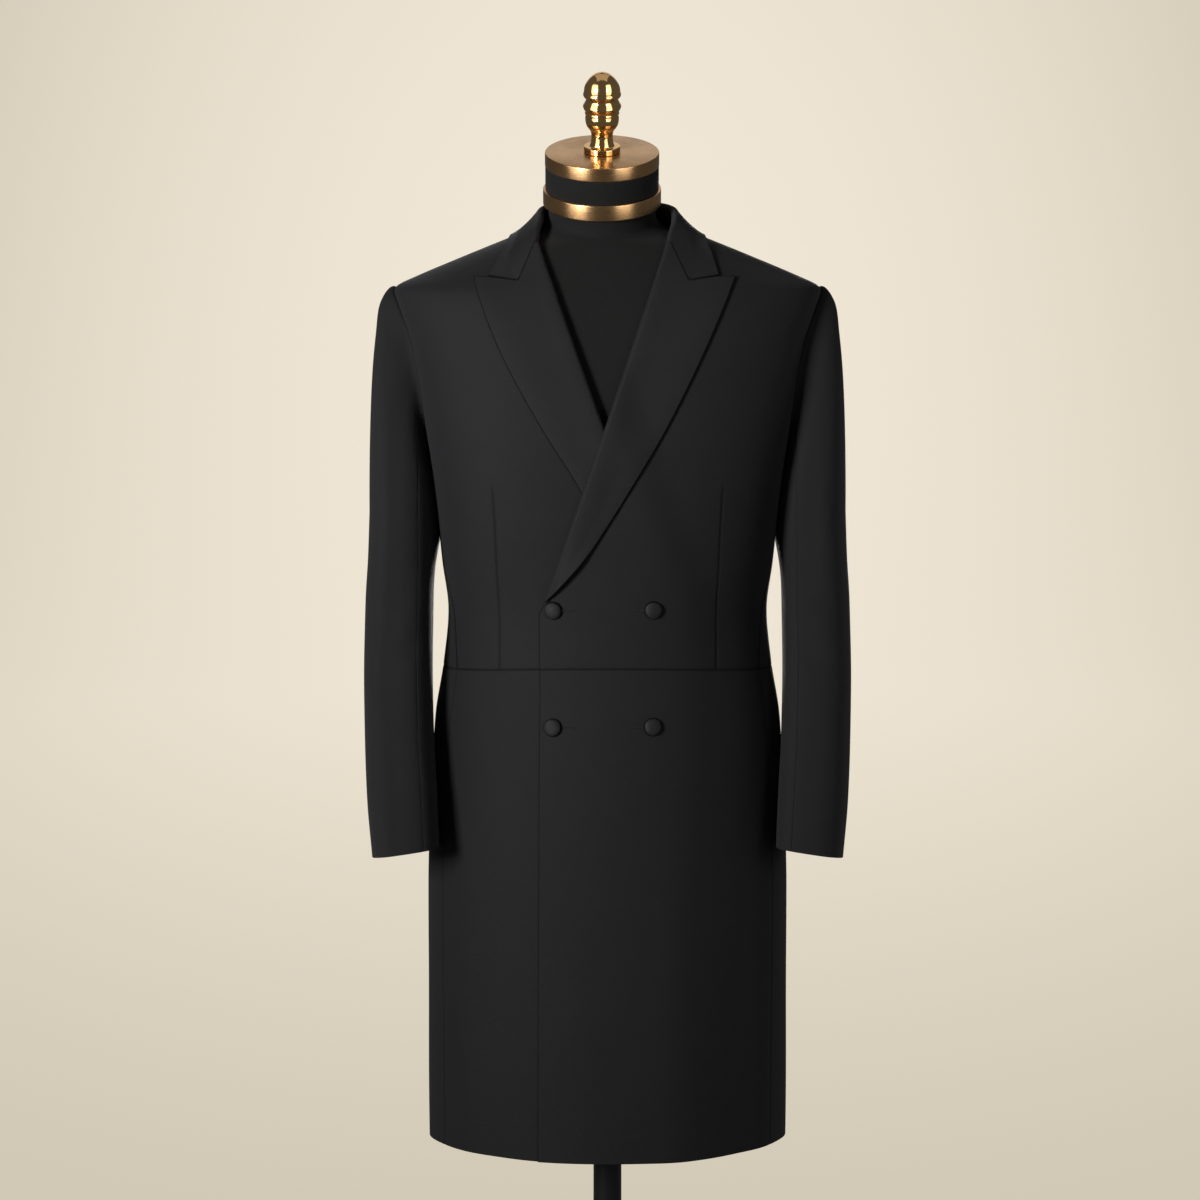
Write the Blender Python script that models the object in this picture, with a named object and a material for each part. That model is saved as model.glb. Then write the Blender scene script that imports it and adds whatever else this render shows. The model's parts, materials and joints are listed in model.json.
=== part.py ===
"""Double-breasted frock coat with peak lapels, worn by a limbless dress form on a round-footed stand.

Metres, +Z up, floor at z = 0. The coat faces -Y and its left front, the one on top, is on the +X side.
The body of the coat is one smooth surface, body_point(turn, z). turn is the angle round the body: 0 is
the centre front, a quarter turn the side and half a turn the centre back. Every panel is a patch of that
surface, made into a wall of cloth by moving its points along the surface's normal.
"""

from collections import namedtuple
from math import cos, pi, radians, sin

import bmesh
import bpy
import numpy as np
from mathutils import Vector

# Driving sizes
CLOTH = 0.0018
LAYER_GAP = 0.0010
LAYER = CLOTH + LAYER_GAP
SEAM_GAP = 0.0003
REST_GAP = 0.0014
HEM_Z = 0.480
WAIST_SEAM_Z = 1.0165
WAIST_SEAM_RISE = 0.011
NECK_POINT_Z = 1.508

# The left front's edge. It bends from the break into the straight edge over EDGE_BEND of height
FRONT_EDGE_X = -0.0732
HEM_EDGE_X = -0.0762
BREAK_X = -0.0620
BREAK_Z = 1.1040
ROLL_TOP_Z = 1.4895
EDGE_BEND = 0.020
ROLL_RADIUS = 0.0030

# The left front lies two layers off the body above its break and one below, and comes down to the body
# over LAP_FALL, from LAP_FLAT past the hidden edge of the right front
LAPEL_END_REACH = 0.085
LAP_FLAT = 0.006
LAP_FALL = 0.050

SKIRT_SEAM_TURN = radians(64)
VENT_LAP = 0.040
VENT_FLAT = 0.004
VENT_FALL = 0.045
BUTTON_RADIUS = 0.0105

NECK_TILT = radians(16)
NECK_RING_CENTRE = Vector((-0.0062, -0.004, 1.5433))
NECK_RADIUS = 0.0595
NECK_CAP_RADIUS = 0.0633
NECK_RING_RADIUS = 0.0656
NECK_RING_HALF = 0.0088
NECK_CAP_HALF = 0.0078
NECK_CAP_HEIGHT = 0.0430
NECK_RISE = 0.0260
NECK_FLARE = 0.0005
POLE_RADIUS = 0.016
FORM_FOOT_Z = 0.862
FORM_FOOT_SHRINK = 0.965

BLACK_CLOTH = (0.020, 0.020, 0.022)
LAPEL_CLOTH = (0.026, 0.026, 0.028)
BUTTON_CLOTH = (0.040, 0.040, 0.042)
FORM_LINEN = (0.014, 0.014, 0.014)
BRUSHED_BRASS = (0.50, 0.29, 0.12)
POLISHED_BRASS = (0.75, 0.47, 0.16)
STAND_PAINT = (0.015, 0.015, 0.016)

# Level sections of the coat's outer face, from the hem to the neck
BodyRow = namedtuple("BodyRow", "name z half_width front_depth back_depth fullness")
BODY_ROWS = [
    BodyRow("hem", 0.470, 0.1995, 0.152, 0.160, 2.15),
    BodyRow("knee", 0.620, 0.2010, 0.149, 0.157, 2.12),
    BodyRow("thigh", 0.770, 0.2030, 0.144, 0.153, 2.08),
    BodyRow("seat", 0.880, 0.1990, 0.140, 0.147, 2.05),
    BodyRow("hip", 0.960, 0.1942, 0.135, 0.134, 2.05),
    BodyRow("waist seam", 1.021, 0.1845, 0.130, 0.119, 2.08),
    BodyRow("waist", 1.080, 0.1790, 0.127, 0.111, 2.15),
    BodyRow("lower ribs", 1.134, 0.1855, 0.131, 0.115, 2.30),
    BodyRow("ribs", 1.190, 0.1910, 0.136, 0.124, 2.50),
    BodyRow("armpit", 1.245, 0.1975, 0.138, 0.133, 2.65),
    BodyRow("chest", 1.310, 0.2080, 0.133, 0.137, 2.70),
    BodyRow("upper chest", 1.380, 0.2210, 0.118, 0.130, 2.60),
    BodyRow("shoulder tip", 1.4405, 0.2322, 0.097, 0.115, 2.35),
    BodyRow("shoulder edge", 1.4485, 0.2280, 0.0930, 0.1115, 2.25),
    BodyRow("outer shoulder", 1.4565, 0.2090, 0.0885, 0.1075, 2.15),
    BodyRow("mid shoulder", 1.4702, 0.1735, 0.081, 0.101, 2.05),
    BodyRow("inner shoulder", 1.488, 0.1280, 0.071, 0.091, 2.00),
    BodyRow("neck point", NECK_POINT_Z, 0.0780, 0.059, 0.078, 2.00),
]

# Soft folds that the skirt hangs in: where they run, how broad and deep they are, and where they start
FoldRow = namedtuple("FoldRow", "name turn_deg breadth_deg depth top_z drop")
FOLD_ROWS = [
    FoldRow("over the hidden front edge", 21, 7, 0.0022, 0.98, 0.30),
    FoldRow("left front", 47, 9, -0.0030, 0.94, 0.40),
    FoldRow("left side", 82, 10, 0.0040, 0.80, 0.30),
    FoldRow("left back hollow", 112, 11, -0.0060, 0.97, 0.40),
    FoldRow("left back ridge", 140, 12, 0.0065, 0.98, 0.45),
    FoldRow("right front", -38, 10, -0.0026, 0.92, 0.40),
    FoldRow("right side", -80, 11, 0.0042, 0.81, 0.30),
    FoldRow("right back hollow", -116, 10, -0.0055, 0.96, 0.40),
    FoldRow("right back ridge", -146, 11, 0.0060, 0.97, 0.45),
]

# The armhole, an oval on the body's side: its middle, its reach forwards and backwards, and its height
ARMHOLE_MID_Z = 1.3450
ARMHOLE_HALF_HEIGHT = 0.1000
ARMHOLE_TURN = radians(90)
ARMHOLE_SAG = radians(3)
ARMHOLE_FRONT = radians(19)
ARMHOLE_BACK = radians(22)
SIDE_SEAM_SHARE = radians(150)
SIDE_STEPS = 8
NECK_STEPS = 6
ARM_STEP = radians(15)

# Level sections of the sleeve below the armhole, by its four outermost faces
SleeveRow = namedtuple("SleeveRow", "name z outer_x inner_x middle_y half_depth")
SLEEVE_ROWS = [
    SleeveRow("top of the tube", 1.190, 0.2672, 0.1962, 0.002, 0.0705),
    SleeveRow("upper arm", 1.136, 0.2695, 0.1957, 0.001, 0.0700),
    SleeveRow("elbow", 1.090, 0.2720, 0.1962, -0.004, 0.0690),
    SleeveRow("below the elbow", 1.021, 0.2732, 0.1968, -0.019, 0.0665),
    SleeveRow("forearm", 0.950, 0.2715, 0.1950, -0.042, 0.0625),
    SleeveRow("lower forearm", 0.880, 0.2680, 0.1908, -0.065, 0.0580),
    SleeveRow("cuff", 0.8165, 0.2615, 0.1875, -0.084, 0.0540),
]
SLEEVE_TOP_Z = SLEEVE_ROWS[0].z
SLEEVE_CUFF_Z = SLEEVE_ROWS[-1].z
CUFF_SIDE_SLOPE = 0.151
CUFF_PITCH = 0.12
SLEEVE_HEAD_REACH = 0.0195
UNDERARM_REACH = 0.008
SLEEVE_HEAD_PULL = 0.745
SLEEVE_HEAD_SHARES = (0, 0.08, 0.18, 0.31, 0.46, 0.63, 0.81, 1)
ARMHOLE_GAP = 0.0008
HIND_SEAM = radians(-105)
FORE_SEAM = radians(120)

# The crease that the lapel folds along, from the break up past the crossing of the two fronts
EdgeRow = namedtuple("EdgeRow", "name z x")
ROLL_ROWS = [
    EdgeRow("break", BREAK_Z, BREAK_X),
    EdgeRow("crossing", 1.2900, 0.0),
    EdgeRow("collar", ROLL_TOP_Z, 0.0700),
]
ROLL_TOP_X = ROLL_ROWS[-1].x

# The lapel's free edge, from the peak down to the break, for the half with its front edge at -X
LAPEL_EDGE_ROWS = [
    EdgeRow("peak", 1.4525, 0.1394),
    EdgeRow("below the peak", 1.4180, 0.1277),
    EdgeRow("upper chest", 1.3690, 0.1080),
    EdgeRow("chest", 1.3200, 0.0825),
    EdgeRow("armpit level", 1.2785, 0.0560),
    EdgeRow("ribs", 1.2390, 0.0305),
    EdgeRow("lower ribs", 1.1832, -0.0010),
    EdgeRow("above the break", 1.1418, -0.0289),
    EdgeRow("break", BREAK_Z, BREAK_X),
]
GORGE_X = 0.0965
GORGE_Z = 1.4485
COLLAR_CORNER_X = 0.1212
COLLAR_CORNER_Z = 1.4530
GORGE_SHARES = (0, 0.5, 0.75, 1)
GORGE_PULL_FROM = 0.70
NOTCH_OPENING = 0.0012
COLLAR_EDGE_Z = 1.4965
COLLAR_BACK_EDGE_Z = 1.4940
NECK_POINT_SHARE = 0.40
COLLAR_FRONT_SHARE = 0.30
COLLAR_GORGE_SHARE = 0.12
CORNER_SHARE = 0.6
LEAF_STEPS = 5
LEAF_FALLOFF = 1.8
STAND_GAP = 0.0005
STAND_SET_IN = 0.0013

# The collar's crease along its half length, from the gorge to the centre back
CreaseRow = namedtuple("CreaseRow", "name share x y z")
CREASE_ROWS = [
    CreaseRow("gorge", 0.00, 0.0730, -0.0600, 1.4905),
    CreaseRow("front neck", 0.20, 0.0750, -0.0330, 1.5130),
    CreaseRow("side neck", 0.40, 0.0745, 0.0020, 1.5275),
    CreaseRow("back quarter", 0.70, 0.0530, 0.0560, 1.5345),
    CreaseRow("centre back", 1.00, 0.0000, 0.0760, 1.5360),
]

ButtonRow = namedtuple("ButtonRow", "name x z")
BUTTON_ROWS = [
    ButtonRow("button_upper_edge", -0.0608, 1.0935),
    ButtonRow("button_upper_chest", 0.0485, 1.0940),
    ButtonRow("button_lower_edge", -0.0612, 0.9650),
    ButtonRow("button_lower_chest", 0.0485, 0.9660),
]


def curve_through(places, values):
    """A smooth curve through the points that never overshoots them, as a function of an array."""
    xs, ys = np.array(places, float), np.array(values, float)
    if xs[0] > xs[-1]:
        xs, ys = xs[::-1], ys[::-1]
    steps = np.diff(xs)
    rises = np.diff(ys) / steps
    slopes = np.concatenate([rises[:1], np.zeros(len(xs) - 2), rises[-1:]])
    for i in range(1, len(xs) - 1):
        before, after = rises[i - 1], rises[i]
        if before * after > 0:
            w_before = 2 * steps[i] + steps[i - 1]
            w_after = steps[i] + 2 * steps[i - 1]
            slopes[i] = (w_before + w_after) / (w_before / before + w_after / after)

    def value(x):
        i = np.clip(np.searchsorted(xs, x) - 1, 0, len(steps) - 1)
        s = np.clip((x - xs[i]) / steps[i], 0, 1)
        start = ys[i] * (2 * s**3 - 3 * s**2 + 1) + slopes[i] * steps[i] * (s**3 - 2 * s**2 + s)
        end = ys[i + 1] * (3 * s**2 - 2 * s**3) + slopes[i + 1] * steps[i] * (s**3 - s**2)
        return start + end

    return value


def read(rows, place, field):
    """One named column of a table as a smooth curve over another."""
    return curve_through([getattr(r, place) for r in rows], [getattr(r, field) for r in rows])


def ease(x):
    """Rises smoothly from 0 to 1 while x does."""
    x = np.clip(x, 0, 1)
    return x * x * (3 - 2 * x)


def unit(vectors):
    return vectors / np.linalg.norm(vectors, axis=-1, keepdims=True)


# The body surface
half_width = read(BODY_ROWS, "z", "half_width")
front_depth = read(BODY_ROWS, "z", "front_depth")
back_depth = read(BODY_ROWS, "z", "back_depth")
fullness = read(BODY_ROWS, "z", "fullness")


def fold_height(turn, z):
    """How far the skirt's folds stand out of its level section."""
    height = np.zeros(np.broadcast(turn, z).shape)
    for fold in FOLD_ROWS:
        away = (turn - radians(fold.turn_deg) + pi) % (2 * pi) - pi
        ridge = np.exp(-((away / radians(fold.breadth_deg)) ** 2))
        height = height + fold.depth * ridge * ease((fold.top_z - z) / fold.drop)
    return height


def body_point(turn, z):
    """The coat's outer face at an angle round the body and a height."""
    turn, z = np.broadcast_arrays(np.asarray(turn, float), np.asarray(z, float))
    power = fullness(z)
    across, ahead = np.sin(turn), np.cos(turn)
    swell = (np.abs(across) ** power + np.abs(ahead) ** power) ** (-1 / power)
    depth = np.where(ahead >= 0, front_depth(z), back_depth(z))
    out = fold_height(turn, z)
    x = (half_width(z) * swell + out) * across
    y = -(depth * swell + out) * ahead
    return np.stack([x, y, z], axis=-1)


def body_normal(turn, z):
    step = 1e-4
    round_it = body_point(turn + step, z) - body_point(turn - step, z)
    upward = body_point(turn, z + step) - body_point(turn, z - step)
    return unit(np.cross(round_it, upward))


def on_body(turn, z, lift):
    """A point moved off the coat's outer face by lift."""
    return body_point(turn, z) + body_normal(turn, z) * np.asarray(lift)[..., None]


def turn_at(x, z):
    """The angle round the front of the body where it has this x."""
    share = np.clip(np.abs(x) / half_width(z), 0, 1)
    power = fullness(z)
    return np.sign(x) * np.arctan2(share, (1 - share**power) ** (1 / power))


def waist_seam_z(turn):
    return WAIST_SEAM_Z + WAIST_SEAM_RISE * np.clip(np.cos(turn), 0, 1) ** 2


# Meshes
def new_object(name, mesh, colour, roughness=0.85, metallic=0.0):
    material = bpy.data.materials.new(name)
    material.use_nodes = True
    shader = material.node_tree.nodes["Principled BSDF"]
    shader.inputs["Base Color"].default_value = (*colour, 1)
    shader.inputs["Roughness"].default_value = roughness
    shader.inputs["Metallic"].default_value = metallic
    mesh.materials.append(material)
    obj = bpy.data.objects.new(name, mesh)
    coat.objects.link(obj)
    return obj


def finished(name, bm, colour, roughness=0.85, metallic=0.0):
    """The mesh with its faces turned outwards, smooth but for its edges, as a new object."""
    bmesh.ops.recalc_face_normals(bm, faces=bm.faces)
    if bm.calc_volume(signed=True) < 0:
        bmesh.ops.reverse_faces(bm, faces=bm.faces)
    mesh = bpy.data.meshes.new(name)
    bm.to_mesh(mesh)
    bm.free()
    mesh.shade_smooth()
    mesh.set_sharp_from_angle(angle=radians(40))
    return new_object(name, mesh, colour, roughness, metallic)


def cloth_wall(name, outer, inner, colour=BLACK_CLOTH):
    """A closed wall between two grids of points, one for each face of the cloth."""
    rows, columns = outer.shape[:2]
    bm = bmesh.new()
    faces = [[[bm.verts.new(p) for p in line] for line in grid] for grid in (outer, inner)]
    for grid in faces:
        for i in range(rows - 1):
            for j in range(columns - 1):
                bm.faces.new((grid[i][j], grid[i][j + 1], grid[i + 1][j + 1], grid[i + 1][j]))
    around = [(0, j) for j in range(columns)] + [(i, columns - 1) for i in range(1, rows)]
    around += [(rows - 1, j) for j in range(columns - 2, -1, -1)]
    around += [(i, 0) for i in range(rows - 2, 0, -1)]
    for (i, j), (k, m) in zip(around, around[1:] + around[:1]):
        bm.faces.new((faces[0][i][j], faces[0][k][m], faces[1][k][m], faces[1][i][j]))
    return finished(name, bm, colour)


def body_wall(name, turn, z, lift, side, colour=BLACK_CLOTH):
    """A wall of cloth on the body surface. side is 1 for the +X half and -1 for its mirror image."""
    lift = np.broadcast_to(lift, turn.shape)
    flip = np.array([side, 1, 1])
    outer, inner = on_body(turn, z, lift) * flip, on_body(turn, z, lift - CLOTH) * flip
    return cloth_wall(name, outer, inner, colour)


def between(start, end, count):
    """Rows of values that run from one column of values to another."""
    share = np.linspace(0, 1, count)
    return start[:, None] * (1 - share) + end[:, None] * share


def seam_turn(z, turn):
    """The angle that half a seam gap takes at this place on the body."""
    step = 1e-3
    reach = np.linalg.norm(body_point(turn + step, z) - body_point(turn - step, z), axis=-1)
    return SEAM_GAP * step / reach


# Fronts and backs of the bodice
roll_x = read(ROLL_ROWS, "z", "x")


def front_edge_x(z):
    """The front edge below the break, and the crease line above it."""
    below = FRONT_EDGE_X + (HEM_EDGE_X - FRONT_EDGE_X) * (BREAK_Z - z) / (BREAK_Z - HEM_Z)
    near_break = BREAK_X + (below - BREAK_X) * ease((BREAK_Z - z) / EDGE_BEND)
    return np.where(z > BREAK_Z, roll_x(z), near_break)


def round_neck(share, start_x, start_z, side_z, back_z):
    """A line round half the neck as turns and heights: straight, seen from the front, from its start to
    the shoulder seam, then round to the centre back."""
    ahead = np.clip(share / NECK_POINT_SHARE, 0, 1)
    behind = np.clip((share - NECK_POINT_SHARE) / (1 - NECK_POINT_SHARE), 0, 1)
    z = start_z + (side_z - start_z) * ahead
    x = start_x + (half_width(side_z) - start_x) * ahead
    return turn_at(x, z) + behind * pi / 2, z + (back_z - side_z) * behind


def neckline(share):
    return round_neck(share, ROLL_TOP_X + ROLL_RADIUS, ROLL_TOP_Z, NECK_POINT_Z, NECK_POINT_Z)


def armhole(psi):
    """The armhole's edge as an angle round the body and a height. psi is 0 at the shoulder, a quarter
    turn at the front and half a turn under the arm."""
    sag = ARMHOLE_SAG * (1 - np.cos(psi)) / 2
    reach = np.where(np.sin(psi) > 0, ARMHOLE_FRONT, ARMHOLE_BACK)
    return ARMHOLE_TURN + sag - reach * np.sin(psi), ARMHOLE_MID_Z + ARMHOLE_HALF_HEIGHT * np.cos(psi)


def side_seam_turn(z):
    """The side seam runs from the front of the armhole to where the skirt's seam starts."""
    top_turn, top_z = armhole(np.array(SIDE_SEAM_SHARE))
    down = np.clip((top_z - z) / (top_z - WAIST_SEAM_Z), 0, 1)
    return top_turn + (SKIRT_SEAM_TURN - top_turn) * ease(down * 0.5) * 2


def over_lift(x, z):
    """How far the left front lies off the body, over the right front and the lower end of its lapel."""
    hidden_edge = -front_edge_x(z)
    layers = LAYER * (1 + ease((z - BREAK_Z) / LAPEL_END_REACH + 1))
    return layers * (1 - ease((x - hidden_edge - LAP_FLAT) / LAP_FALL))


def side_edge(psi_end):
    """The outer edge of a bodice panel: up the side seam, then round the armhole to the shoulder tip."""
    top_z = armhole(np.array(SIDE_SEAM_SHARE))[1]
    seam_z = np.linspace(0, 1, SIDE_STEPS + 1)[:-1] * (top_z - WAIST_SEAM_Z) + WAIST_SEAM_Z
    turn = side_seam_turn(seam_z)
    seam_z[0] = waist_seam_z(turn[0]) + SEAM_GAP / 2
    count = round(abs(psi_end - SIDE_SEAM_SHARE) / ARM_STEP) + 1
    arm_turn, arm_z = armhole(np.linspace(SIDE_SEAM_SHARE, psi_end, count))
    return np.concatenate([turn, arm_turn]), np.concatenate([seam_z, arm_z])


def bodice_grid(inner_turn, inner_z, outer_turn, outer_z, columns, seam_side):
    """The panel between its two edges, drawn back from its seams by half a seam gap.
    seam_side is 1 where the panel lies before its side seam and -1 where it lies behind it."""
    turn = between(inner_turn, outer_turn, columns)
    z = between(inner_z, outer_z, columns)
    z[0] = waist_seam_z(turn[0]) + SEAM_GAP / 2
    turn[: SIDE_STEPS + 1, -1] -= seam_side * seam_turn(z, turn)[: SIDE_STEPS + 1, -1]
    turn[-1] -= seam_side * seam_turn(z, turn)[-1]
    return turn, z


def front_grid(columns=14):
    """The front bodice: straight edge, crease line, neckline and shoulder seam, side seam and armhole."""
    outer_turn, outer_z = side_edge(0.0)
    edge_z = np.linspace(waist_seam_z(0.0), BREAK_Z, 3)
    crease_z = np.linspace(BREAK_Z, ROLL_TOP_Z, 13)[1:]
    straight_z = np.concatenate([edge_z, crease_z])
    set_back = np.where(straight_z > BREAK_Z - 0.001, ROLL_RADIUS, 0.0)
    straight_x = front_edge_x(straight_z) + set_back
    neck_turn, neck_z = neckline(np.linspace(0, NECK_POINT_SHARE, 5)[1:])
    inner_z = np.concatenate([straight_z, neck_z])
    inner_turn = np.concatenate([turn_at(straight_x, straight_z), neck_turn])
    return bodice_grid(inner_turn, inner_z, outer_turn, outer_z, columns, 1)


def back_grid(columns=10):
    """The back bodice: centre back seam, neckline and shoulder seam, side seam and armhole."""
    outer_turn, outer_z = side_edge(2 * pi)
    neck_turn, neck_z = neckline(np.linspace(1, NECK_POINT_SHARE, NECK_STEPS + 1)[1:])
    centre_rows = len(outer_z) - NECK_STEPS
    centre_z = np.interp(np.arange(centre_rows), (0, 8, centre_rows - 1), (WAIST_SEAM_Z, 1.24, NECK_POINT_Z))
    inner_z = np.concatenate([centre_z, neck_z])
    inner_turn = np.concatenate([pi - seam_turn(centre_z, pi), neck_turn])
    return bodice_grid(inner_turn, inner_z, outer_turn, outer_z, columns, -1)


def make_bodice():
    turn, z = front_grid()
    x = body_point(turn, z)[..., 0]
    body_wall("front_left", turn, z, over_lift(x, z), 1)
    body_wall("front_right", turn, z, 0.0, -1)
    turn, z = back_grid()
    body_wall("back_left", turn, z, 0.0, 1)
    body_wall("back_right", turn, z, 0.0, -1)


# Skirts
SKIRT_SHARES = np.array([0, 0.06, 0.14, 0.24, 0.36, 0.49, 0.62, 0.75, 0.88, 1.0])


def skirt_grid(start_turn, end_turn, columns):
    """A skirt panel from the waist seam to the hem, between two edges given as angles for a height."""
    level = WAIST_SEAM_Z + (HEM_Z - WAIST_SEAM_Z) * SKIRT_SHARES
    turn = between(start_turn(level), end_turn(level), columns)
    z = np.repeat(level[:, None], columns, axis=1)
    top = waist_seam_z(turn[0]) - SEAM_GAP / 2
    z = z + (top - WAIST_SEAM_Z) * (1 - SKIRT_SHARES[:, None])
    return turn, z


def make_skirts():
    def front_edge(z):
        return turn_at(front_edge_x(np.minimum(z, BREAK_Z - EDGE_BEND)), z)

    def seam(offset):
        return lambda z: SKIRT_SEAM_TURN + offset * seam_turn(z, SKIRT_SEAM_TURN)

    def centre_back(reach):
        """The centre back, reach metres past it."""
        return lambda z: pi + reach / half_width(z)

    turn, z = skirt_grid(front_edge, seam(-1), 15)
    x = body_point(turn, z)[..., 0]
    body_wall("skirt_front_left", turn, z, over_lift(x, z), 1)
    right = body_point(-turn, z)
    lift = np.zeros_like(turn)
    cloth_wall("skirt_front_right", right, on_body(-turn, z, lift - CLOTH))

    turn, z = skirt_grid(seam(1), centre_back(0.002), 15)
    x = body_point(turn, z)[..., 0]
    lap = LAYER * (1 - ease((x - VENT_LAP - VENT_FLAT) / VENT_FALL))
    body_wall("skirt_back_left", turn, z, lap, 1)
    turn, z = skirt_grid(seam(1), centre_back(VENT_LAP), 16)
    lift = np.zeros_like(turn)
    cloth_wall("skirt_back_right", on_body(-turn, z, lift), on_body(-turn, z, lift - CLOTH))


# Lapels
lapel_edge_x = read(LAPEL_EDGE_ROWS, "z", "x")


def gorge_line(across):
    """The seam and notch between collar and lapel, from the crease line to the lapel's peak."""
    peak = LAPEL_EDGE_ROWS[0]
    xs = [ROLL_TOP_X + ROLL_RADIUS, GORGE_X, COLLAR_CORNER_X, peak.x]
    zs = [ROLL_TOP_Z, GORGE_Z, COLLAR_CORNER_Z, peak.z]
    return np.interp(across, GORGE_SHARES, xs), np.interp(across, GORGE_SHARES, zs)


def lapel_leaf(rows=24, columns=9):
    """The lapel's leaf as x and z seen from the front, from the crease line to its free edge."""
    across = np.linspace(0, 1, columns)
    along = np.linspace(0.03, 1, rows)[:, None]
    crease_z = BREAK_Z + (ROLL_TOP_Z - BREAK_Z) * along
    edge_z = BREAK_Z + (LAPEL_EDGE_ROWS[0].z - BREAK_Z) * along
    crease_x, edge_x = roll_x(crease_z) + ROLL_RADIUS, lapel_edge_x(edge_z)
    x, z = crease_x + (edge_x - crease_x) * across, crease_z + (edge_z - crease_z) * across
    top_x, top_z = gorge_line(across)
    pull = ease((along - GORGE_PULL_FROM) / (1 - GORGE_PULL_FROM))
    return x + (top_x - x[-1]) * pull, z + (top_z - z[-1]) * pull


def rolled_edge(crease, normal, outwards, angles):
    """Rings of points that turn a leaf round its crease, for the cloth's outer and inner faces."""
    centre = crease - normal * ROLL_RADIUS
    faces = []
    for radius in (ROLL_RADIUS, ROLL_RADIUS - CLOTH):
        arc = [centre + radius * (normal * sin(a) + outwards * cos(a)) for a in map(radians, angles)]
        faces.append(np.stack(arc, axis=1))
    return faces


def lapel_faces(under_lift):
    """Outer and inner points of a lapel with its rolled crease. under_lift gives the front beneath it."""
    x, z = lapel_leaf()
    turn = turn_at(x, z)
    lift = under_lift(x, z) + LAYER
    leaf = on_body(turn, z, lift), on_body(turn, z, lift - CLOTH)
    normal = body_normal(turn[:, 0], z[:, 0])
    upwards = unit(np.gradient(leaf[0][:, 0], axis=0))
    outwards = unit(np.cross(normal, upwards))
    rolls = rolled_edge(leaf[0][:, 0], normal, outwards, (-10, 30, 62))
    return [np.concatenate([roll, face], axis=1) for roll, face in zip(rolls, leaf)]


def make_lapels():
    outer, inner = lapel_faces(over_lift)
    cloth_wall("lapel_left", outer, inner, LAPEL_CLOTH)
    flip = np.array([-1, 1, 1])
    outer, inner = lapel_faces(lambda x, z: np.zeros_like(x))
    cloth_wall("lapel_right", outer * flip, inner * flip, LAPEL_CLOTH)


# Collar
def roll_direction():
    """The way the lapel's crease line runs where it reaches the collar."""
    z = ROLL_TOP_Z + np.array([-0.004, 0])
    return unit(np.diff(on_body(turn_at(roll_x(z) + ROLL_RADIUS, z), z, LAYER), axis=0))


def collar_half():
    """The outer face of half the collar, from the gorge to the centre back: up the stand from the
    neckline, over the crease and down the leaf to its edge."""
    share = np.concatenate([np.linspace(0, 0.1, 3), np.linspace(0.1, 1, 12)[1:]])[:, None]
    front = 1 - ease(share / COLLAR_FRONT_SHARE)
    foot_turn, foot_z = neckline(share)
    edge_turn, edge_z = round_neck(
        share, COLLAR_CORNER_X, COLLAR_CORNER_Z + NOTCH_OPENING, COLLAR_EDGE_Z, COLLAR_BACK_EDGE_Z
    )
    start = on_body(foot_turn, foot_z, LAYER)[:, 0]
    before = CREASE_ROWS[-2]
    past_back = before._replace(share=2 - before.share, x=-before.x)
    rows = [*CREASE_ROWS, past_back]
    crease = np.stack([read(rows, "share", axis)(share[:, 0]) for axis in "xyz"], axis=-1)
    crease += (start[0] - crease[0]) * front
    along = unit(np.gradient(crease, share[:, 0], axis=0))
    along[-1] = (-1, 0, 0)
    along = unit(along * (1 - front) + roll_direction() * front)
    upwards = unit(np.array([0, 0, 1]) * (1 - front) + body_normal(foot_turn, foot_z)[:, 0] * front)
    outwards = unit(np.cross(along, upwards))
    upwards = np.cross(outwards, along)
    centre = crease - upwards * ROLL_RADIUS

    def round_crease(angle):
        return centre + ROLL_RADIUS * (outwards * np.cos(angle) + upwards * np.sin(angle))

    stand_angle = radians(180) + radians(10) * front
    leaf_angle = radians(35) + radians(55) * front
    arc = [round_crease(stand_angle + (leaf_angle - stand_angle) * k / 4) for k in range(5)]
    low = radians(35)
    foot = body_point(foot_turn, foot_z)[:, 0] + upwards * STAND_GAP - outwards * STAND_SET_IN
    foot = foot * (1 - front) + round_crease(stand_angle + low) * front
    middle = (foot + arc[0]) / 2 * (1 - front) + round_crease(stand_angle + low / 2) * front

    leaf = []
    for k in range(1, LEAF_STEPS + 1):
        out = k / LEAF_STEPS
        turn = foot_turn + (edge_turn - foot_turn) * out
        z = foot_z + (edge_z - foot_z) * out
        gorge_x, gorge_z = gorge_line(np.interp(out, (0, CORNER_SHARE, 1), GORGE_SHARES[:3]))
        rise = np.interp(out, (CORNER_SHARE, 1), (SEAM_GAP, NOTCH_OPENING))
        on_gorge = ease(1 - share / COLLAR_GORGE_SHARE)
        gorge_turn = turn_at(gorge_x, gorge_z + rise)
        turn = turn + (gorge_turn - turn[0]) * on_gorge
        z = z + (gorge_z + rise - z[0]) * on_gorge
        lean = (arc[-1] - start) * (1 - out) ** LEAF_FALLOFF
        leaf.append(on_body(turn, z, LAYER)[:, 0] + lean)
    half = np.stack([foot, middle, *arc, *leaf], axis=1)
    half[0, :7] += along[0] * SEAM_GAP * 1.5
    return half


def thickened(outer):
    """The other face of a wall whose outer face is this grid of points."""
    across, along = np.gradient(outer, axis=1), np.gradient(outer, axis=0)
    return outer - unit(np.cross(across, along)) * CLOTH


def make_collar():
    half = collar_half()
    outer = np.concatenate([half, half[-2::-1] * (-1, 1, 1)])
    cloth_wall("collar", outer, thickened(outer), LAPEL_CLOTH)


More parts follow.
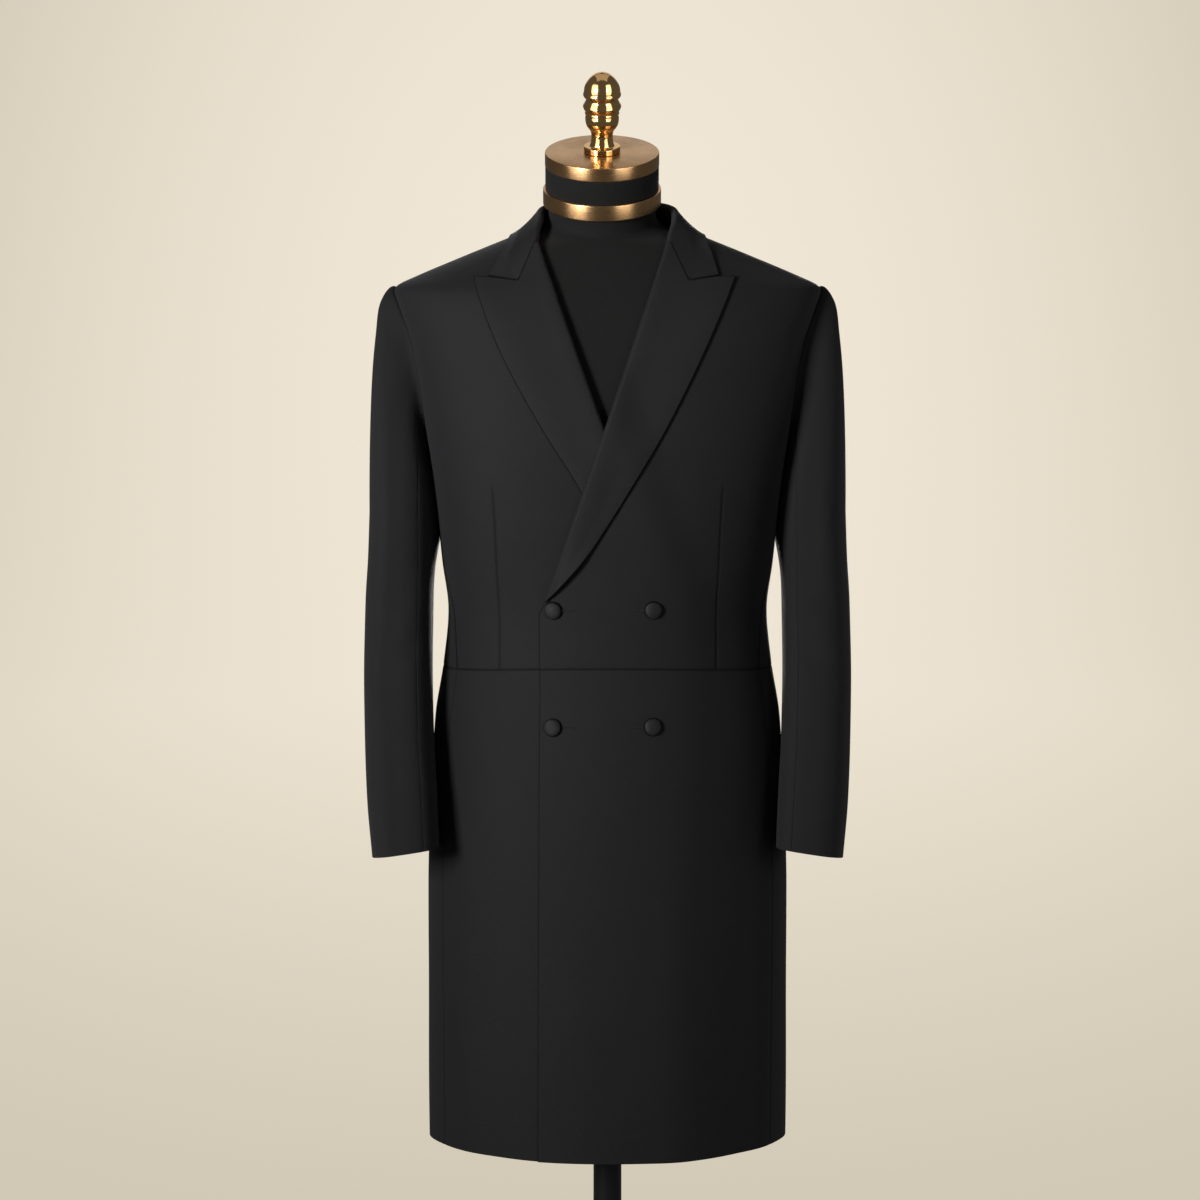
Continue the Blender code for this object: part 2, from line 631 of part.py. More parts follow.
# Sleeves
def sleeve_ring(z, psi):
    """A level ring of the sleeve's tube. psi runs as it does round the armhole."""
    outer_x, inner_x = (read(SLEEVE_ROWS, "z", field)(z) for field in ("outer_x", "inner_x"))
    middle_y, half_depth = (read(SLEEVE_ROWS, "z", field)(z) for field in ("middle_y", "half_depth"))
    x = (outer_x + inner_x) / 2 + (outer_x - inner_x) / 2 * np.cos(psi)
    y = middle_y - half_depth * np.sin(psi)
    slant = ease((SLEEVE_TOP_Z - z) / (SLEEVE_TOP_Z - SLEEVE_CUFF_Z))
    slope = CUFF_SIDE_SLOPE * (x - (outer_x + inner_x) / 2) + CUFF_PITCH * (y - middle_y)
    return np.stack([x, y, z - slope * slant], axis=-1)


def sleeve_faces():
    """Outer and inner faces of the whole sleeve, a closed tube: its head from the armhole down, then the
    tube. The columns run round it from the hind seam, and the last repeats the first."""
    psi = np.radians(np.arange(0, 361, 15)) + HIND_SEAM
    arm_turn, arm_z = armhole(psi)
    middle_turn, middle_z = ARMHOLE_TURN + ARMHOLE_SAG / 2, ARMHOLE_MID_Z
    shrink = 1 - ARMHOLE_GAP / ARMHOLE_HALF_HEIGHT
    arm_turn = middle_turn + (arm_turn - middle_turn) * shrink
    arm_z = middle_z + (arm_z - middle_z) * shrink
    start, normal = on_body(arm_turn, arm_z, -CLOTH), body_normal(arm_turn, arm_z)
    end = sleeve_ring(np.full_like(psi, SLEEVE_TOP_Z), psi)
    reach = (SLEEVE_HEAD_REACH + UNDERARM_REACH) / 2 + (SLEEVE_HEAD_REACH - UNDERARM_REACH) / 2 * np.cos(psi)
    drop = (start - end)[:, 2:]
    first, second = start + normal * (reach + CLOTH)[:, None], end + (0, 0, SLEEVE_HEAD_PULL) * drop
    rows = []
    for s in SLEEVE_HEAD_SHARES:
        rows.append(
            start * (1 - s) ** 3 + 3 * first * s * (1 - s) ** 2 + 3 * second * s**2 * (1 - s) + end * s**3
        )
    for z in np.linspace(SLEEVE_TOP_Z, SLEEVE_CUFF_Z, 9)[1:]:
        rows.append(sleeve_ring(np.full_like(psi, z), psi))
    outer = np.stack(rows)
    wrapped = np.concatenate([outer[:, -2:-1], outer, outer[:, 1:2]], axis=1)
    around, along = np.gradient(wrapped, axis=1)[:, 1:-1], np.gradient(outer, axis=0)
    return psi, outer, outer - unit(np.cross(around, along)) * CLOTH


def make_sleeves():
    psi, outer, inner = sleeve_faces()
    split = round((FORE_SEAM - HIND_SEAM) / radians(15))
    for piece, columns in (("sleeve_top", slice(0, split + 1)), ("sleeve_under", slice(split, None))):
        faces = []
        for grid in (outer[:, columns], inner[:, columns]):
            drawn_in = grid.copy()
            drawn_in[:, 0] += unit(grid[:, 1] - grid[:, 0]) * SEAM_GAP / 2
            drawn_in[:, -1] += unit(grid[:, -2] - grid[:, -1]) * SEAM_GAP / 2
            faces.append(drawn_in)
        cloth_wall(piece + "_left", *faces)
        cloth_wall(piece + "_right", *(face * (-1, 1, 1) for face in faces))


# Turned pieces. A profile gives radii and heights, from the bottom to the top
Turn = namedtuple("Turn", "name radius height")


def turned(name, profile, colour, roughness, metallic, steps=32):
    """A solid of revolution about its own Z axis."""
    bm = bmesh.new()
    verts = [bm.verts.new((row.radius, 0, row.height)) for row in profile]
    for a, b in zip(verts, verts[1:]):
        bm.edges.new((a, b))
    bmesh.ops.spin(
        bm,
        geom=bm.verts[:] + bm.edges[:],
        cent=(0, 0, 0),
        axis=(0, 0, 1),
        dvec=(0, 0, 0),
        angle=2 * pi,
        steps=steps,
        use_merge=True,
    )
    bmesh.ops.remove_doubles(bm, verts=bm.verts, dist=1e-6)
    bmesh.ops.dissolve_degenerate(bm, edges=bm.edges, dist=1e-7)
    return finished(name, bm, colour, roughness, metallic)


def front_frame(x, z):
    """The place and the outward direction of the left front's outer face at x and z."""
    step = 0.004

    def face(px, pz):
        lift = over_lift(np.array(px), np.array(pz))
        return Vector(on_body(turn_at(px, pz), np.array(pz), lift))

    across = face(x + step, z) - face(x - step, z)
    upward = face(x, z + step) - face(x, z - step)
    return face(x, z), across.cross(upward).normalized()


BUTTON_PROFILE = [
    Turn("back, middle", 0, 0),
    Turn("back, rim", 0.0090, 0),
    Turn("widest", BUTTON_RADIUS, 0.0016),
    Turn("shoulder", 0.0098, 0.0034),
    Turn("dome", 0.0074, 0.0048),
    Turn("upper dome", 0.0040, 0.0056),
    Turn("top", 0, 0.0059),
]


def make_buttons():
    for row in BUTTON_ROWS:
        button = turned(row.name, BUTTON_PROFILE, BUTTON_CLOTH, 0.7, 0.0, steps=14)
        place, normal = front_frame(row.x, row.z)
        button.location = place + normal * SEAM_GAP * 1.4
        button.rotation_euler = normal.to_track_quat("Z", "Y").to_euler()


# The dress form
FORM_LEVELS = [0.870, 0.91, 0.96, 1.02, 1.08, 1.134, 1.19, 1.245, 1.30, 1.345, 1.38, 1.415]
FORM_LEVELS += [1.4405, 1.4485, 1.4565, 1.4702, 1.482, 1.494]
FRONT_AND_BACK_EASE = 0.0036
FormEase = namedtuple("FormEase", "name z ease")
FORM_EASE = [
    FormEase("foot", 0.862, 0.018),
    FormEase("hip", 0.960, 0.014),
    FormEase("waist", 1.080, 0.008),
    FormEase("ribs", 1.200, 0.006),
    FormEase("chest", 1.310, 0.005),
    FormEase("upper chest", 1.380, 0.0042),
    FormEase("shoulder tip", 1.4405, CLOTH + REST_GAP),
    FormEase("neck", NECK_POINT_Z, CLOTH + REST_GAP),
]


def neck_axis():
    return Vector((0, -sin(NECK_TILT), cos(NECK_TILT)))


def neck_circle(height, radius, turns):
    """A ring round the neck's leaning axis, height along it from the lower brass ring's middle."""
    centre = np.array(NECK_RING_CENTRE + neck_axis() * height)
    ahead = np.array((0, -cos(NECK_TILT), -sin(NECK_TILT)))
    side = np.array((1, 0, 0))
    return centre + radius * (np.outer(np.sin(turns), side) + np.outer(np.cos(turns), ahead))


def make_torso(columns=28):
    turns = np.linspace(0, 2 * pi, columns, endpoint=False)
    slack = read(FORM_EASE, "z", "ease")
    rings = []
    for z in FORM_LEVELS:
        inset = slack(z) + FRONT_AND_BACK_EASE * np.abs(np.cos(turns))
        rings.append(on_body(turns, np.full(columns, z), -inset))
    foot = rings[0] * (FORM_FOOT_SHRINK, FORM_FOOT_SHRINK, 1)
    foot[:, 2] = FORM_FOOT_Z
    top = rings[-1]
    first = neck_circle(-NECK_RISE, NECK_RADIUS + NECK_FLARE, turns)
    for w in (0.25, 0.5, 0.75):
        flare = top * (1 - w) ** 3 + first * (1 - (1 - w) ** 3)
        flare[:, 2] = top[:, 2] * (1 - w) + first[:, 2] * w
        rings.append(flare)
    rings.append(first)
    rings += [neck_circle(h, NECK_RADIUS, turns) for h in (-NECK_RISE * 0.6, -NECK_RING_HALF - SEAM_GAP)]
    bm = bmesh.new()
    loops = [[bm.verts.new(p) for p in ring] for ring in [foot, *rings]]
    for low, high in zip(loops, loops[1:]):
        for i in range(columns):
            j = (i + 1) % columns
            bm.faces.new((low[i], low[j], high[j], high[i]))
    bm.faces.new(loops[0])
    bm.faces.new(loops[-1])
    finished("form_torso", bm, FORM_LINEN, 0.8)


def rounded_disc(radius, low, high, edge):
    return [
        Turn("bottom", 0, low),
        Turn("bottom rim", radius - edge, low),
        Turn("lower side", radius, low + edge),
        Turn("upper side", radius, high - edge),
        Turn("top rim", radius - edge, high),
        Turn("top", 0, high),
    ]


FINIAL_PROFILE = [
    Turn("bottom", 0, 0),
    Turn("foot", 0.0200, 0),
    Turn("foot, top", 0.0203, 0.0060),
    Turn("foot, slope", 0.0185, 0.0074),
    Turn("waist, low", 0.0140, 0.0085),
    Turn("waist", 0.0130, 0.0160),
    Turn("bell", 0.0145, 0.0250),
    Turn("bell, rim", 0.0182, 0.0330),
    Turn("rim", 0.0185, 0.0390),
    Turn("groove", 0.0173, 0.0410),
    Turn("ring, low", 0.0195, 0.0440),
    Turn("ring", 0.0210, 0.0515),
    Turn("ring, high", 0.0197, 0.0590),
    Turn("upper groove", 0.0183, 0.0605),
    Turn("dome, low", 0.0205, 0.0635),
    Turn("dome", 0.0210, 0.0690),
    Turn("dome, side", 0.0196, 0.0765),
    Turn("dome, shoulder", 0.0155, 0.0842),
    Turn("dome, upper", 0.0085, 0.0900),
    Turn("top", 0, 0.0918),
]
BASE_PROFILE = [
    Turn("underside, middle", 0, 0),
    Turn("underside, rim", 0.200, 0),
    Turn("rim", 0.200, 0.0080),
    Turn("rim, top", 0.194, 0.0125),
    Turn("plate", 0.120, 0.0150),
    Turn("plate, inner", 0.050, 0.0180),
    Turn("socket, foot", 0.035, 0.0230),
    Turn("socket, flare", 0.029, 0.0320),
    Turn("socket", 0.026, 0.0470),
    Turn("socket, top", 0, 0.0470),
]


def make_neck_and_stand():
    ring_top = NECK_RING_HALF
    cap_low, cap_top = NECK_CAP_HEIGHT - NECK_CAP_HALF, NECK_CAP_HEIGHT + NECK_CAP_HALF
    ring = rounded_disc(NECK_RING_RADIUS, -ring_top, ring_top, 0.0008)
    band = rounded_disc(NECK_RADIUS, ring_top + SEAM_GAP, cap_low - SEAM_GAP, 0.0004)
    cap = rounded_disc(NECK_CAP_RADIUS, cap_low, cap_top, 0.0012)
    finial = [row._replace(height=row.height + cap_top + SEAM_GAP) for row in FINIAL_PROFILE]
    pieces = [
        turned("form_neck_ring", ring, BRUSHED_BRASS, 0.3, 1.0),
        turned("form_neck_band", band, FORM_LINEN, 0.8, 0.0),
        turned("form_neck_cap", cap, BRUSHED_BRASS, 0.3, 1.0),
        turned("form_finial", finial, POLISHED_BRASS, 0.12, 1.0, steps=20),
    ]
    for piece in pieces:
        piece.location = NECK_RING_CENTRE
        piece.rotation_euler = (NECK_TILT, 0, 0)
    turned("form_base", BASE_PROFILE, STAND_PAINT, 0.35, 0.6, steps=40)
    pole = rounded_disc(POLE_RADIUS, BASE_PROFILE[-1].height + SEAM_GAP, FORM_FOOT_Z - SEAM_GAP, 0.001)
    turned("form_pole", pole, STAND_PAINT, 0.3, 0.8, steps=20)


def clear_scene():
    for obj in list(bpy.data.objects):
        bpy.data.objects.remove(obj)


clear_scene()
coat = bpy.data.collections.new("frock_coat_on_dress_form")
bpy.context.scene.collection.children.link(coat)
make_bodice()
make_skirts()
make_lapels()
make_collar()
make_sleeves()
make_buttons()
make_torso()
make_neck_and_stand()
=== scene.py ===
# Black double-breasted frock coat on a limbless dress form: cloth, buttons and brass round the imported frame.
# Metres, +Z up. The coat faces -Y and its left front, on the +X side, lies on top.
import json
from math import cos, pi, radians, sin

import bpy
import numpy as np
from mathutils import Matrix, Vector

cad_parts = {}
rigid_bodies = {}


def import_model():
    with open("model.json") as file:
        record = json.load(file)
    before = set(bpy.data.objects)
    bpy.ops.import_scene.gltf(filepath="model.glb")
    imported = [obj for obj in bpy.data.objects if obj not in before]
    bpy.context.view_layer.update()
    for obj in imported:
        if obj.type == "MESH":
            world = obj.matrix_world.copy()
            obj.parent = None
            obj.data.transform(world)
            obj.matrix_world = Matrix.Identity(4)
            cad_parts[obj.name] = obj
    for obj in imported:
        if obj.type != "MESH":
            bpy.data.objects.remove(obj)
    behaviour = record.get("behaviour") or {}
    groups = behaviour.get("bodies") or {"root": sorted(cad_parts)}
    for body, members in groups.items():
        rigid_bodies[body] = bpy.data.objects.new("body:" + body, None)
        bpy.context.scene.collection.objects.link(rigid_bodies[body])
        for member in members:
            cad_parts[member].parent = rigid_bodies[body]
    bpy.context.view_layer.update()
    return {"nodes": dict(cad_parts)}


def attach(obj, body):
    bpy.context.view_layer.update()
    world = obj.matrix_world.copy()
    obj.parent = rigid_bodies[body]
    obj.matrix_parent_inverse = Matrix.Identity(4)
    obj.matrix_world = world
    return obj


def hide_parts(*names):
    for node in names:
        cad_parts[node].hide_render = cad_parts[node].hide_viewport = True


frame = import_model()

print("frame loaded:", len(frame["nodes"]), "nodes")


def smoothCurve(places, values):
    # a smooth curve through the points that never overshoots them
    xs, ys = np.array(places, float), np.array(values, float)
    if xs[0] > xs[-1]:
        xs, ys = xs[::-1], ys[::-1]
    steps = np.diff(xs)
    rises = np.diff(ys) / steps
    slopes = np.concatenate([rises[:1], np.zeros(len(xs) - 2), rises[-1:]])
    for i in range(1, len(xs) - 1):
        before, after = rises[i - 1], rises[i]
        if before * after > 0:
            wBefore = 2 * steps[i] + steps[i - 1]
            wAfter = steps[i] + 2 * steps[i - 1]
            slopes[i] = (wBefore + wAfter) / (wBefore / before + wAfter / after)

    def value(x):
        i = np.clip(np.searchsorted(xs, x) - 1, 0, len(steps) - 1)
        s = np.clip((x - xs[i]) / steps[i], 0, 1)
        start = ys[i] * (2 * s**3 - 3 * s**2 + 1) + slopes[i] * steps[i] * (s**3 - 2 * s**2 + s)
        end = ys[i + 1] * (3 * s**2 - 2 * s**3) + slopes[i + 1] * steps[i] * (s**3 - s**2)
        return start + end

    return value


def curvesOver(levels, names):
    # one smooth curve over the heights for each named row of a table
    return {name: smoothCurve(levels["height"], levels[name]) for name in names}


def ease(x):
    x = np.clip(x, 0, 1)
    return x * x * (3 - 2 * x)


def unit(vectors):
    return vectors / np.linalg.norm(vectors, axis=-1, keepdims=True)


def bump(distance, width):
    return np.exp(-((distance / width) ** 2))


def turnFrom(turn, degrees):
    # how far a turn lies from a direction, the short way round
    return (turn - radians(degrees) + pi) % (2 * pi) - pi


def arcLengths(points, axis):
    # how far each point of a grid is along its row or column
    steps = np.linalg.norm(np.diff(points, axis=axis), axis=-1)
    start = np.zeros_like(np.take(steps, [0], axis=axis))
    return np.concatenate([start, np.cumsum(steps, axis=axis)], axis=axis)


cut = {
    "cloth": 0.0018,
    "rimRound": 0.0006,
    "rimAngle": 58,
    "layer": 0.0028,
    "seamGap": 0.0003,
    "seamLap": 0.0001,
    "hemZ": 0.480,
    "waistSeamZ": 1.0165,
    "waistSeamRise": 0.011,
    "backMiddleZ": 1.24,
    "neckPointZ": 1.508,
    "neckPointShare": 0.40,
    "seamDip": 0.0007,
    "seamDipWidth": 0.0017,
    "shadeWidth": 0.0012,
    "armholeShadeWidth": 0.0030,
    "edgeUnder": 0.0014,
    "edgeShade": 0.35,
    "panelRows": 118,
    "panelLength": 0.50,
    "uvRadius": 0.19,
    "columnStep": 0.0075,
    "edgeColumns": (0.0005, 0.0011, 0.0018, 0.0030, 0.0055, 0.0100),
}

# level sections of the coat's outer face, from the hem to the neck
bodyLevels = {
    "height": (0.470, 0.620, 0.770, 0.880, 0.960, 1.021, 1.080, 1.134, 1.190,
               1.245, 1.310, 1.380, 1.418, 1.4405, 1.4485, 1.4565, 1.4702, 1.488, 1.508),
    "halfWidth": (0.1995, 0.2010, 0.2030, 0.1990, 0.1942, 0.1845, 0.1790, 0.1855, 0.1910,
                  0.1975, 0.2080, 0.2212, 0.2330, 0.2388, 0.2228, 0.2048, 0.1720, 0.1285, 0.0780),
    "frontDepth": (0.152, 0.149, 0.144, 0.140, 0.135, 0.130, 0.127, 0.131, 0.136,
                   0.138, 0.133, 0.118, 0.1058, 0.0955, 0.0912, 0.0870, 0.0795, 0.0700, 0.059),
    "backDepth": (0.160, 0.157, 0.153, 0.147, 0.134, 0.119, 0.111, 0.115, 0.124,
                  0.133, 0.137, 0.130, 0.1228, 0.115, 0.1115, 0.1075, 0.101, 0.091, 0.078),
    "fullness": (2.15, 2.12, 2.08, 2.05, 2.05, 2.08, 2.15, 2.30, 2.50,
                 2.65, 2.70, 2.60, 2.48, 2.30, 2.20, 2.12, 2.05, 2.00, 2.00),
}
bodyCurve = curvesOver(bodyLevels, ("halfWidth", "frontDepth", "backDepth", "fullness"))
shoulderTurn = {
    "z": 1.4405,
    "reach": 0.0065,
    "spread": 0.022,
    "shares": (1, 2, 3, 2, 1),
}
sharpHalfWidth = bodyCurve["halfWidth"]


def roundedHalfWidth(z):
    # the shoulder turns down into the arm over a little height, not along a line
    z = np.asarray(z, float)
    reach = shoulderTurn["reach"] * bump(z - shoulderTurn["z"], shoulderTurn["spread"])
    levels = z[..., None] + reach[..., None] * np.linspace(-1, 1, len(shoulderTurn["shares"]))
    return np.average(sharpHalfWidth(levels), axis=-1, weights=shoulderTurn["shares"])


bodyCurve["halfWidth"] = roundedHalfWidth

# soft folds: turn and breadth in degrees, depth, where each starts and how far down it grows
skirtFolds = {
    "overHiddenEdge": dict(turn=21, breadth=7, depth=0.0022, top=0.98, drop=0.30),
    "leftFront": dict(turn=47, breadth=9, depth=-0.0030, top=0.94, drop=0.40),
    "leftSide": dict(turn=82, breadth=10, depth=0.0040, top=0.80, drop=0.30),
    "leftBackHollow": dict(turn=112, breadth=11, depth=-0.0060, top=0.97, drop=0.40),
    "leftBackRidge": dict(turn=140, breadth=12, depth=0.0065, top=0.98, drop=0.45),
    "rightFront": dict(turn=-38, breadth=10, depth=-0.0026, top=0.92, drop=0.40),
    "rightSide": dict(turn=-80, breadth=11, depth=0.0042, top=0.81, drop=0.30),
    "rightBackHollow": dict(turn=-116, breadth=10, depth=-0.0055, top=0.96, drop=0.40),
    "rightBackRidge": dict(turn=-146, breadth=11, depth=0.0060, top=0.97, drop=0.45),
}


def foldHeight(turn, z):
    height = np.zeros(np.broadcast(turn, z).shape)
    for fold in skirtFolds.values():
        across = bump(turnFrom(turn, fold["turn"]), radians(fold["breadth"]))
        height = height + fold["depth"] * across * ease((fold["top"] - z) / fold["drop"])
    return height


def bodyPoint(turn, z):
    # the coat's outer face: turn 0 is the centre front, a quarter turn the side, half a turn the back
    turn, z = np.broadcast_arrays(np.asarray(turn, float), np.asarray(z, float))
    power = bodyCurve["fullness"](z)
    across, ahead = np.sin(turn), np.cos(turn)
    swell = (np.abs(across) ** power + np.abs(ahead) ** power) ** (-1 / power)
    depth = np.where(ahead >= 0, bodyCurve["frontDepth"](z), bodyCurve["backDepth"](z))
    out = foldHeight(turn, z)
    x = (bodyCurve["halfWidth"](z) * swell + out) * across
    y = -(depth * swell + out) * ahead
    return np.stack([x, y, z], axis=-1)


def bodyNormal(turn, z):
    step = 1e-4
    roundIt = bodyPoint(turn + step, z) - bodyPoint(turn - step, z)
    upward = bodyPoint(turn, z + step) - bodyPoint(turn, z - step)
    return unit(np.cross(roundIt, upward))


def onBody(turn, z, lift):
    return bodyPoint(turn, z) + bodyNormal(turn, z) * np.asarray(lift)[..., None]


def turnAt(x, z):
    share = np.clip(np.abs(x) / bodyCurve["halfWidth"](z), 0, 1)
    power = bodyCurve["fullness"](z)
    return np.sign(x) * np.arctan2(share, (1 - share**power) ** (1 / power))


def waistSeam(turn):
    return cut["waistSeamZ"] + cut["waistSeamRise"] * np.clip(np.cos(turn), 0, 1) ** 2


print("cut laid out")


def newFinish(name, values, places="Object"):
    # a plain finish, its shader, the wiring of its nodes and the places that its pattern follows
    finish = bpy.data.materials.new(name)
    finish.use_nodes = True
    shader = finish.node_tree.nodes["Principled BSDF"]
    shader.inputs["Base Color"].default_value = (*values["colour"], 1)
    shader.inputs["Roughness"].default_value = values["roughness"]
    shader.inputs["Metallic"].default_value = values.get("metallic", 0.0)
    shader.inputs["Specular IOR Level"].default_value = values.get("specular", 0.3)
    w = Wiring(finish.node_tree)
    return finish, shader, w, w.add("ShaderNodeTexCoord").outputs[places]


class Wiring:
    # short ways to add nodes to one material
    def __init__(self, tree):
        self.tree = tree

    def add(self, kind, **settings):
        node = self.tree.nodes.new(kind)
        for name, value in settings.items():
            setattr(node, name, value)
        return node

    def join(self, source, target):
        self.tree.links.new(source, target)

    def math(self, operation, first, second=None):
        node = self.add("ShaderNodeMath", operation=operation)
        for socket, value in zip(node.inputs, (first, second)):
            if isinstance(value, (int, float)):
                socket.default_value = value
            elif value is not None:
                self.join(value, socket)
        return node.outputs[0]

    def noise(self, place, scale, detail=2.0, roughness=0.5):
        node = self.add("ShaderNodeTexNoise")
        self.join(place, node.inputs["Vector"])
        node.inputs["Scale"].default_value = scale
        node.inputs["Detail"].default_value = detail
        node.inputs["Roughness"].default_value = roughness
        return node.outputs["Fac"]

    def bands(self, place, scale, distortion=0.0):
        node = self.add("ShaderNodeTexWave", wave_type="BANDS", bands_direction="X", wave_profile="SIN")
        self.join(place, node.inputs["Vector"])
        node.inputs["Scale"].default_value = scale
        node.inputs["Distortion"].default_value = distortion
        return node.outputs["Fac"]

    def turned(self, place, degrees, stretch=(1, 1, 1)):
        node = self.add("ShaderNodeMapping")
        self.join(place, node.inputs["Vector"])
        node.inputs["Rotation"].default_value = (0, 0, radians(degrees))
        node.inputs["Scale"].default_value = stretch
        return node.outputs["Vector"]

    def ramp(self, factor, low, high, start=0.0, end=1.0):
        node = self.add("ShaderNodeValToRGB")
        self.join(factor, node.inputs["Fac"])
        node.color_ramp.elements[0].position = start
        node.color_ramp.elements[1].position = end
        node.color_ramp.elements[0].color = (*low, 1)
        node.color_ramp.elements[1].color = (*high, 1)
        return node.outputs["Color"]

    def range(self, factor, low, high):
        node = self.add("ShaderNodeMapRange")
        self.join(factor, node.inputs["Value"])
        node.inputs["To Min"].default_value = low
        node.inputs["To Max"].default_value = high
        return node.outputs["Result"]

    def relief(self, height, distance, strength=1.0, under=None):
        node = self.add("ShaderNodeBump")
        node.inputs["Distance"].default_value = distance
        node.inputs["Strength"].default_value = strength
        self.join(height, node.inputs["Height"])
        if under is not None:
            self.join(under, node.inputs["Normal"])
        return node.outputs["Normal"]


woolCloth = {
    "colour": (0.0148, 0.0149, 0.0167),
    "dark": (0.0098, 0.0099, 0.0111),
    "roughness": 0.74,
    "napRoughness": (0.60, 0.74),
    "specular": 0.16,
    # the tone that painted shade multiplies the cloth's colour by along seams and edges
    "paintedShadeTone": 0.12,
    "twillTurn": 63,
    "twillPitch": 0.0011,
    "twillWander": 0.6,
    "twillHeight": 0.00016,
    "napScale": 620,
    "napHeight": 0.00022,
    "patchScale": 14,
    "patchShare": 0.2,
    "sheen": 0.10,
    "sheenRoughness": 0.45,
    "sheenTint": (0.75, 0.76, 0.82),
}


def makeWool(name, values, brightness=1.0, grainTurn=0):
    finish, shader, w, place = newFinish(name, values, "UV")
    # a wave texture of scale 1 has its bands pi / 10 metres apart
    twillScale = pi / 10 / values["twillPitch"]
    twill = w.bands(w.turned(place, values["twillTurn"] + grainTurn), twillScale, values["twillWander"])
    nap = w.noise(place, values["napScale"], 3, 0.62)
    patch = w.noise(place, values["patchScale"])
    napPart = w.math("MULTIPLY", nap, 1 - values["patchShare"])
    fleck = w.math("ADD", napPart, w.math("MULTIPLY", patch, values["patchShare"]))
    dark, light = np.array((values["dark"], values["colour"])) * brightness
    tone = w.ramp(fleck, dark, light, 0.25, 0.75)
    # painted shade: the seamShade attribute darkens the cloth's colour and takes away its sheen along seams,
    # darts and pressed edges
    seam = w.add("ShaderNodeAttribute", attribute_name="seamShade").outputs["Fac"]
    shaded = w.add("ShaderNodeMix", data_type="RGBA", blend_type="MULTIPLY")
    w.join(seam, shaded.inputs["Factor"])
    w.join(tone, shaded.inputs["A"])
    shaded.inputs["B"].default_value = (*[values["paintedShadeTone"]] * 3, 1)
    w.join(shaded.outputs["Result"], shader.inputs["Base Color"])
    w.join(w.range(nap, *values["napRoughness"]), shader.inputs["Roughness"])
    w.join(w.math("MULTIPLY", w.math("SUBTRACT", 1.0, seam), values["sheen"]), shader.inputs["Sheen Weight"])
    shader.inputs["Sheen Roughness"].default_value = values["sheenRoughness"]
    shader.inputs["Sheen Tint"].default_value = (*values["sheenTint"], 1)
    weave = w.relief(twill, values["twillHeight"], 0.8)
    w.join(w.relief(nap, values["napHeight"], 0.9, weave), shader.inputs["Normal"])
    return finish


satinCloth = {
    "colour": (0.012, 0.012, 0.014),
    "roughness": 0.32,
    "specular": 0.5,
    "threadScale": 3200,
    "threadHeight": 0.00004,
    "rippleScale": 55,
    "rippleRoughness": (0.27, 0.40),
    "rippleTones": ((0.009, 0.009, 0.011), (0.016, 0.016, 0.019)),
    "anisotropic": 0.5,
}


def makeLining(name, values):
    finish, shader, w, place = newFinish(name, values, "UV")
    threads = w.bands(w.turned(place, 90), values["threadScale"], 0.3)
    ripple = w.noise(place, values["rippleScale"])
    w.join(w.range(ripple, *values["rippleRoughness"]), shader.inputs["Roughness"])
    w.join(w.ramp(ripple, *values["rippleTones"]), shader.inputs["Base Color"])
    shader.inputs["Anisotropic"].default_value = values["anisotropic"]
    w.join(w.relief(threads, values["threadHeight"], 0.4), shader.inputs["Normal"])
    return finish


wool = makeWool("blackWool", woolCloth)
lapelWool = makeWool("lapelWool", woolCloth, 1.08, 24)
liningSatin = makeLining("liningSatin", satinCloth)
print("cloth finishes made")


def gridFaces(rows, columns, first, flip):
    i, j = np.meshgrid(np.arange(rows - 1), np.arange(columns - 1), indexing="ij")
    corner = first + i * columns + j
    quads = np.stack([corner, corner + 1, corner + columns + 1, corner + columns], axis=-1).reshape(-1, 4)
    return quads[:, ::-1] if flip else quads


def rimLoop(rows, columns):
    top = [(0, j) for j in range(columns)]
    right = [(i, columns - 1) for i in range(1, rows)]
    bottom = [(rows - 1, j) for j in range(columns - 2, -1, -1)]
    left = [(i, 0) for i in range(rows - 2, 0, -1)]
    return top + right + bottom + left


def showPiece(obj, *nodes, slot="coat_wool"):
    bpy.context.scene.collection.objects.link(obj)
    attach(obj, "root")
    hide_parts(*nodes)
    return obj


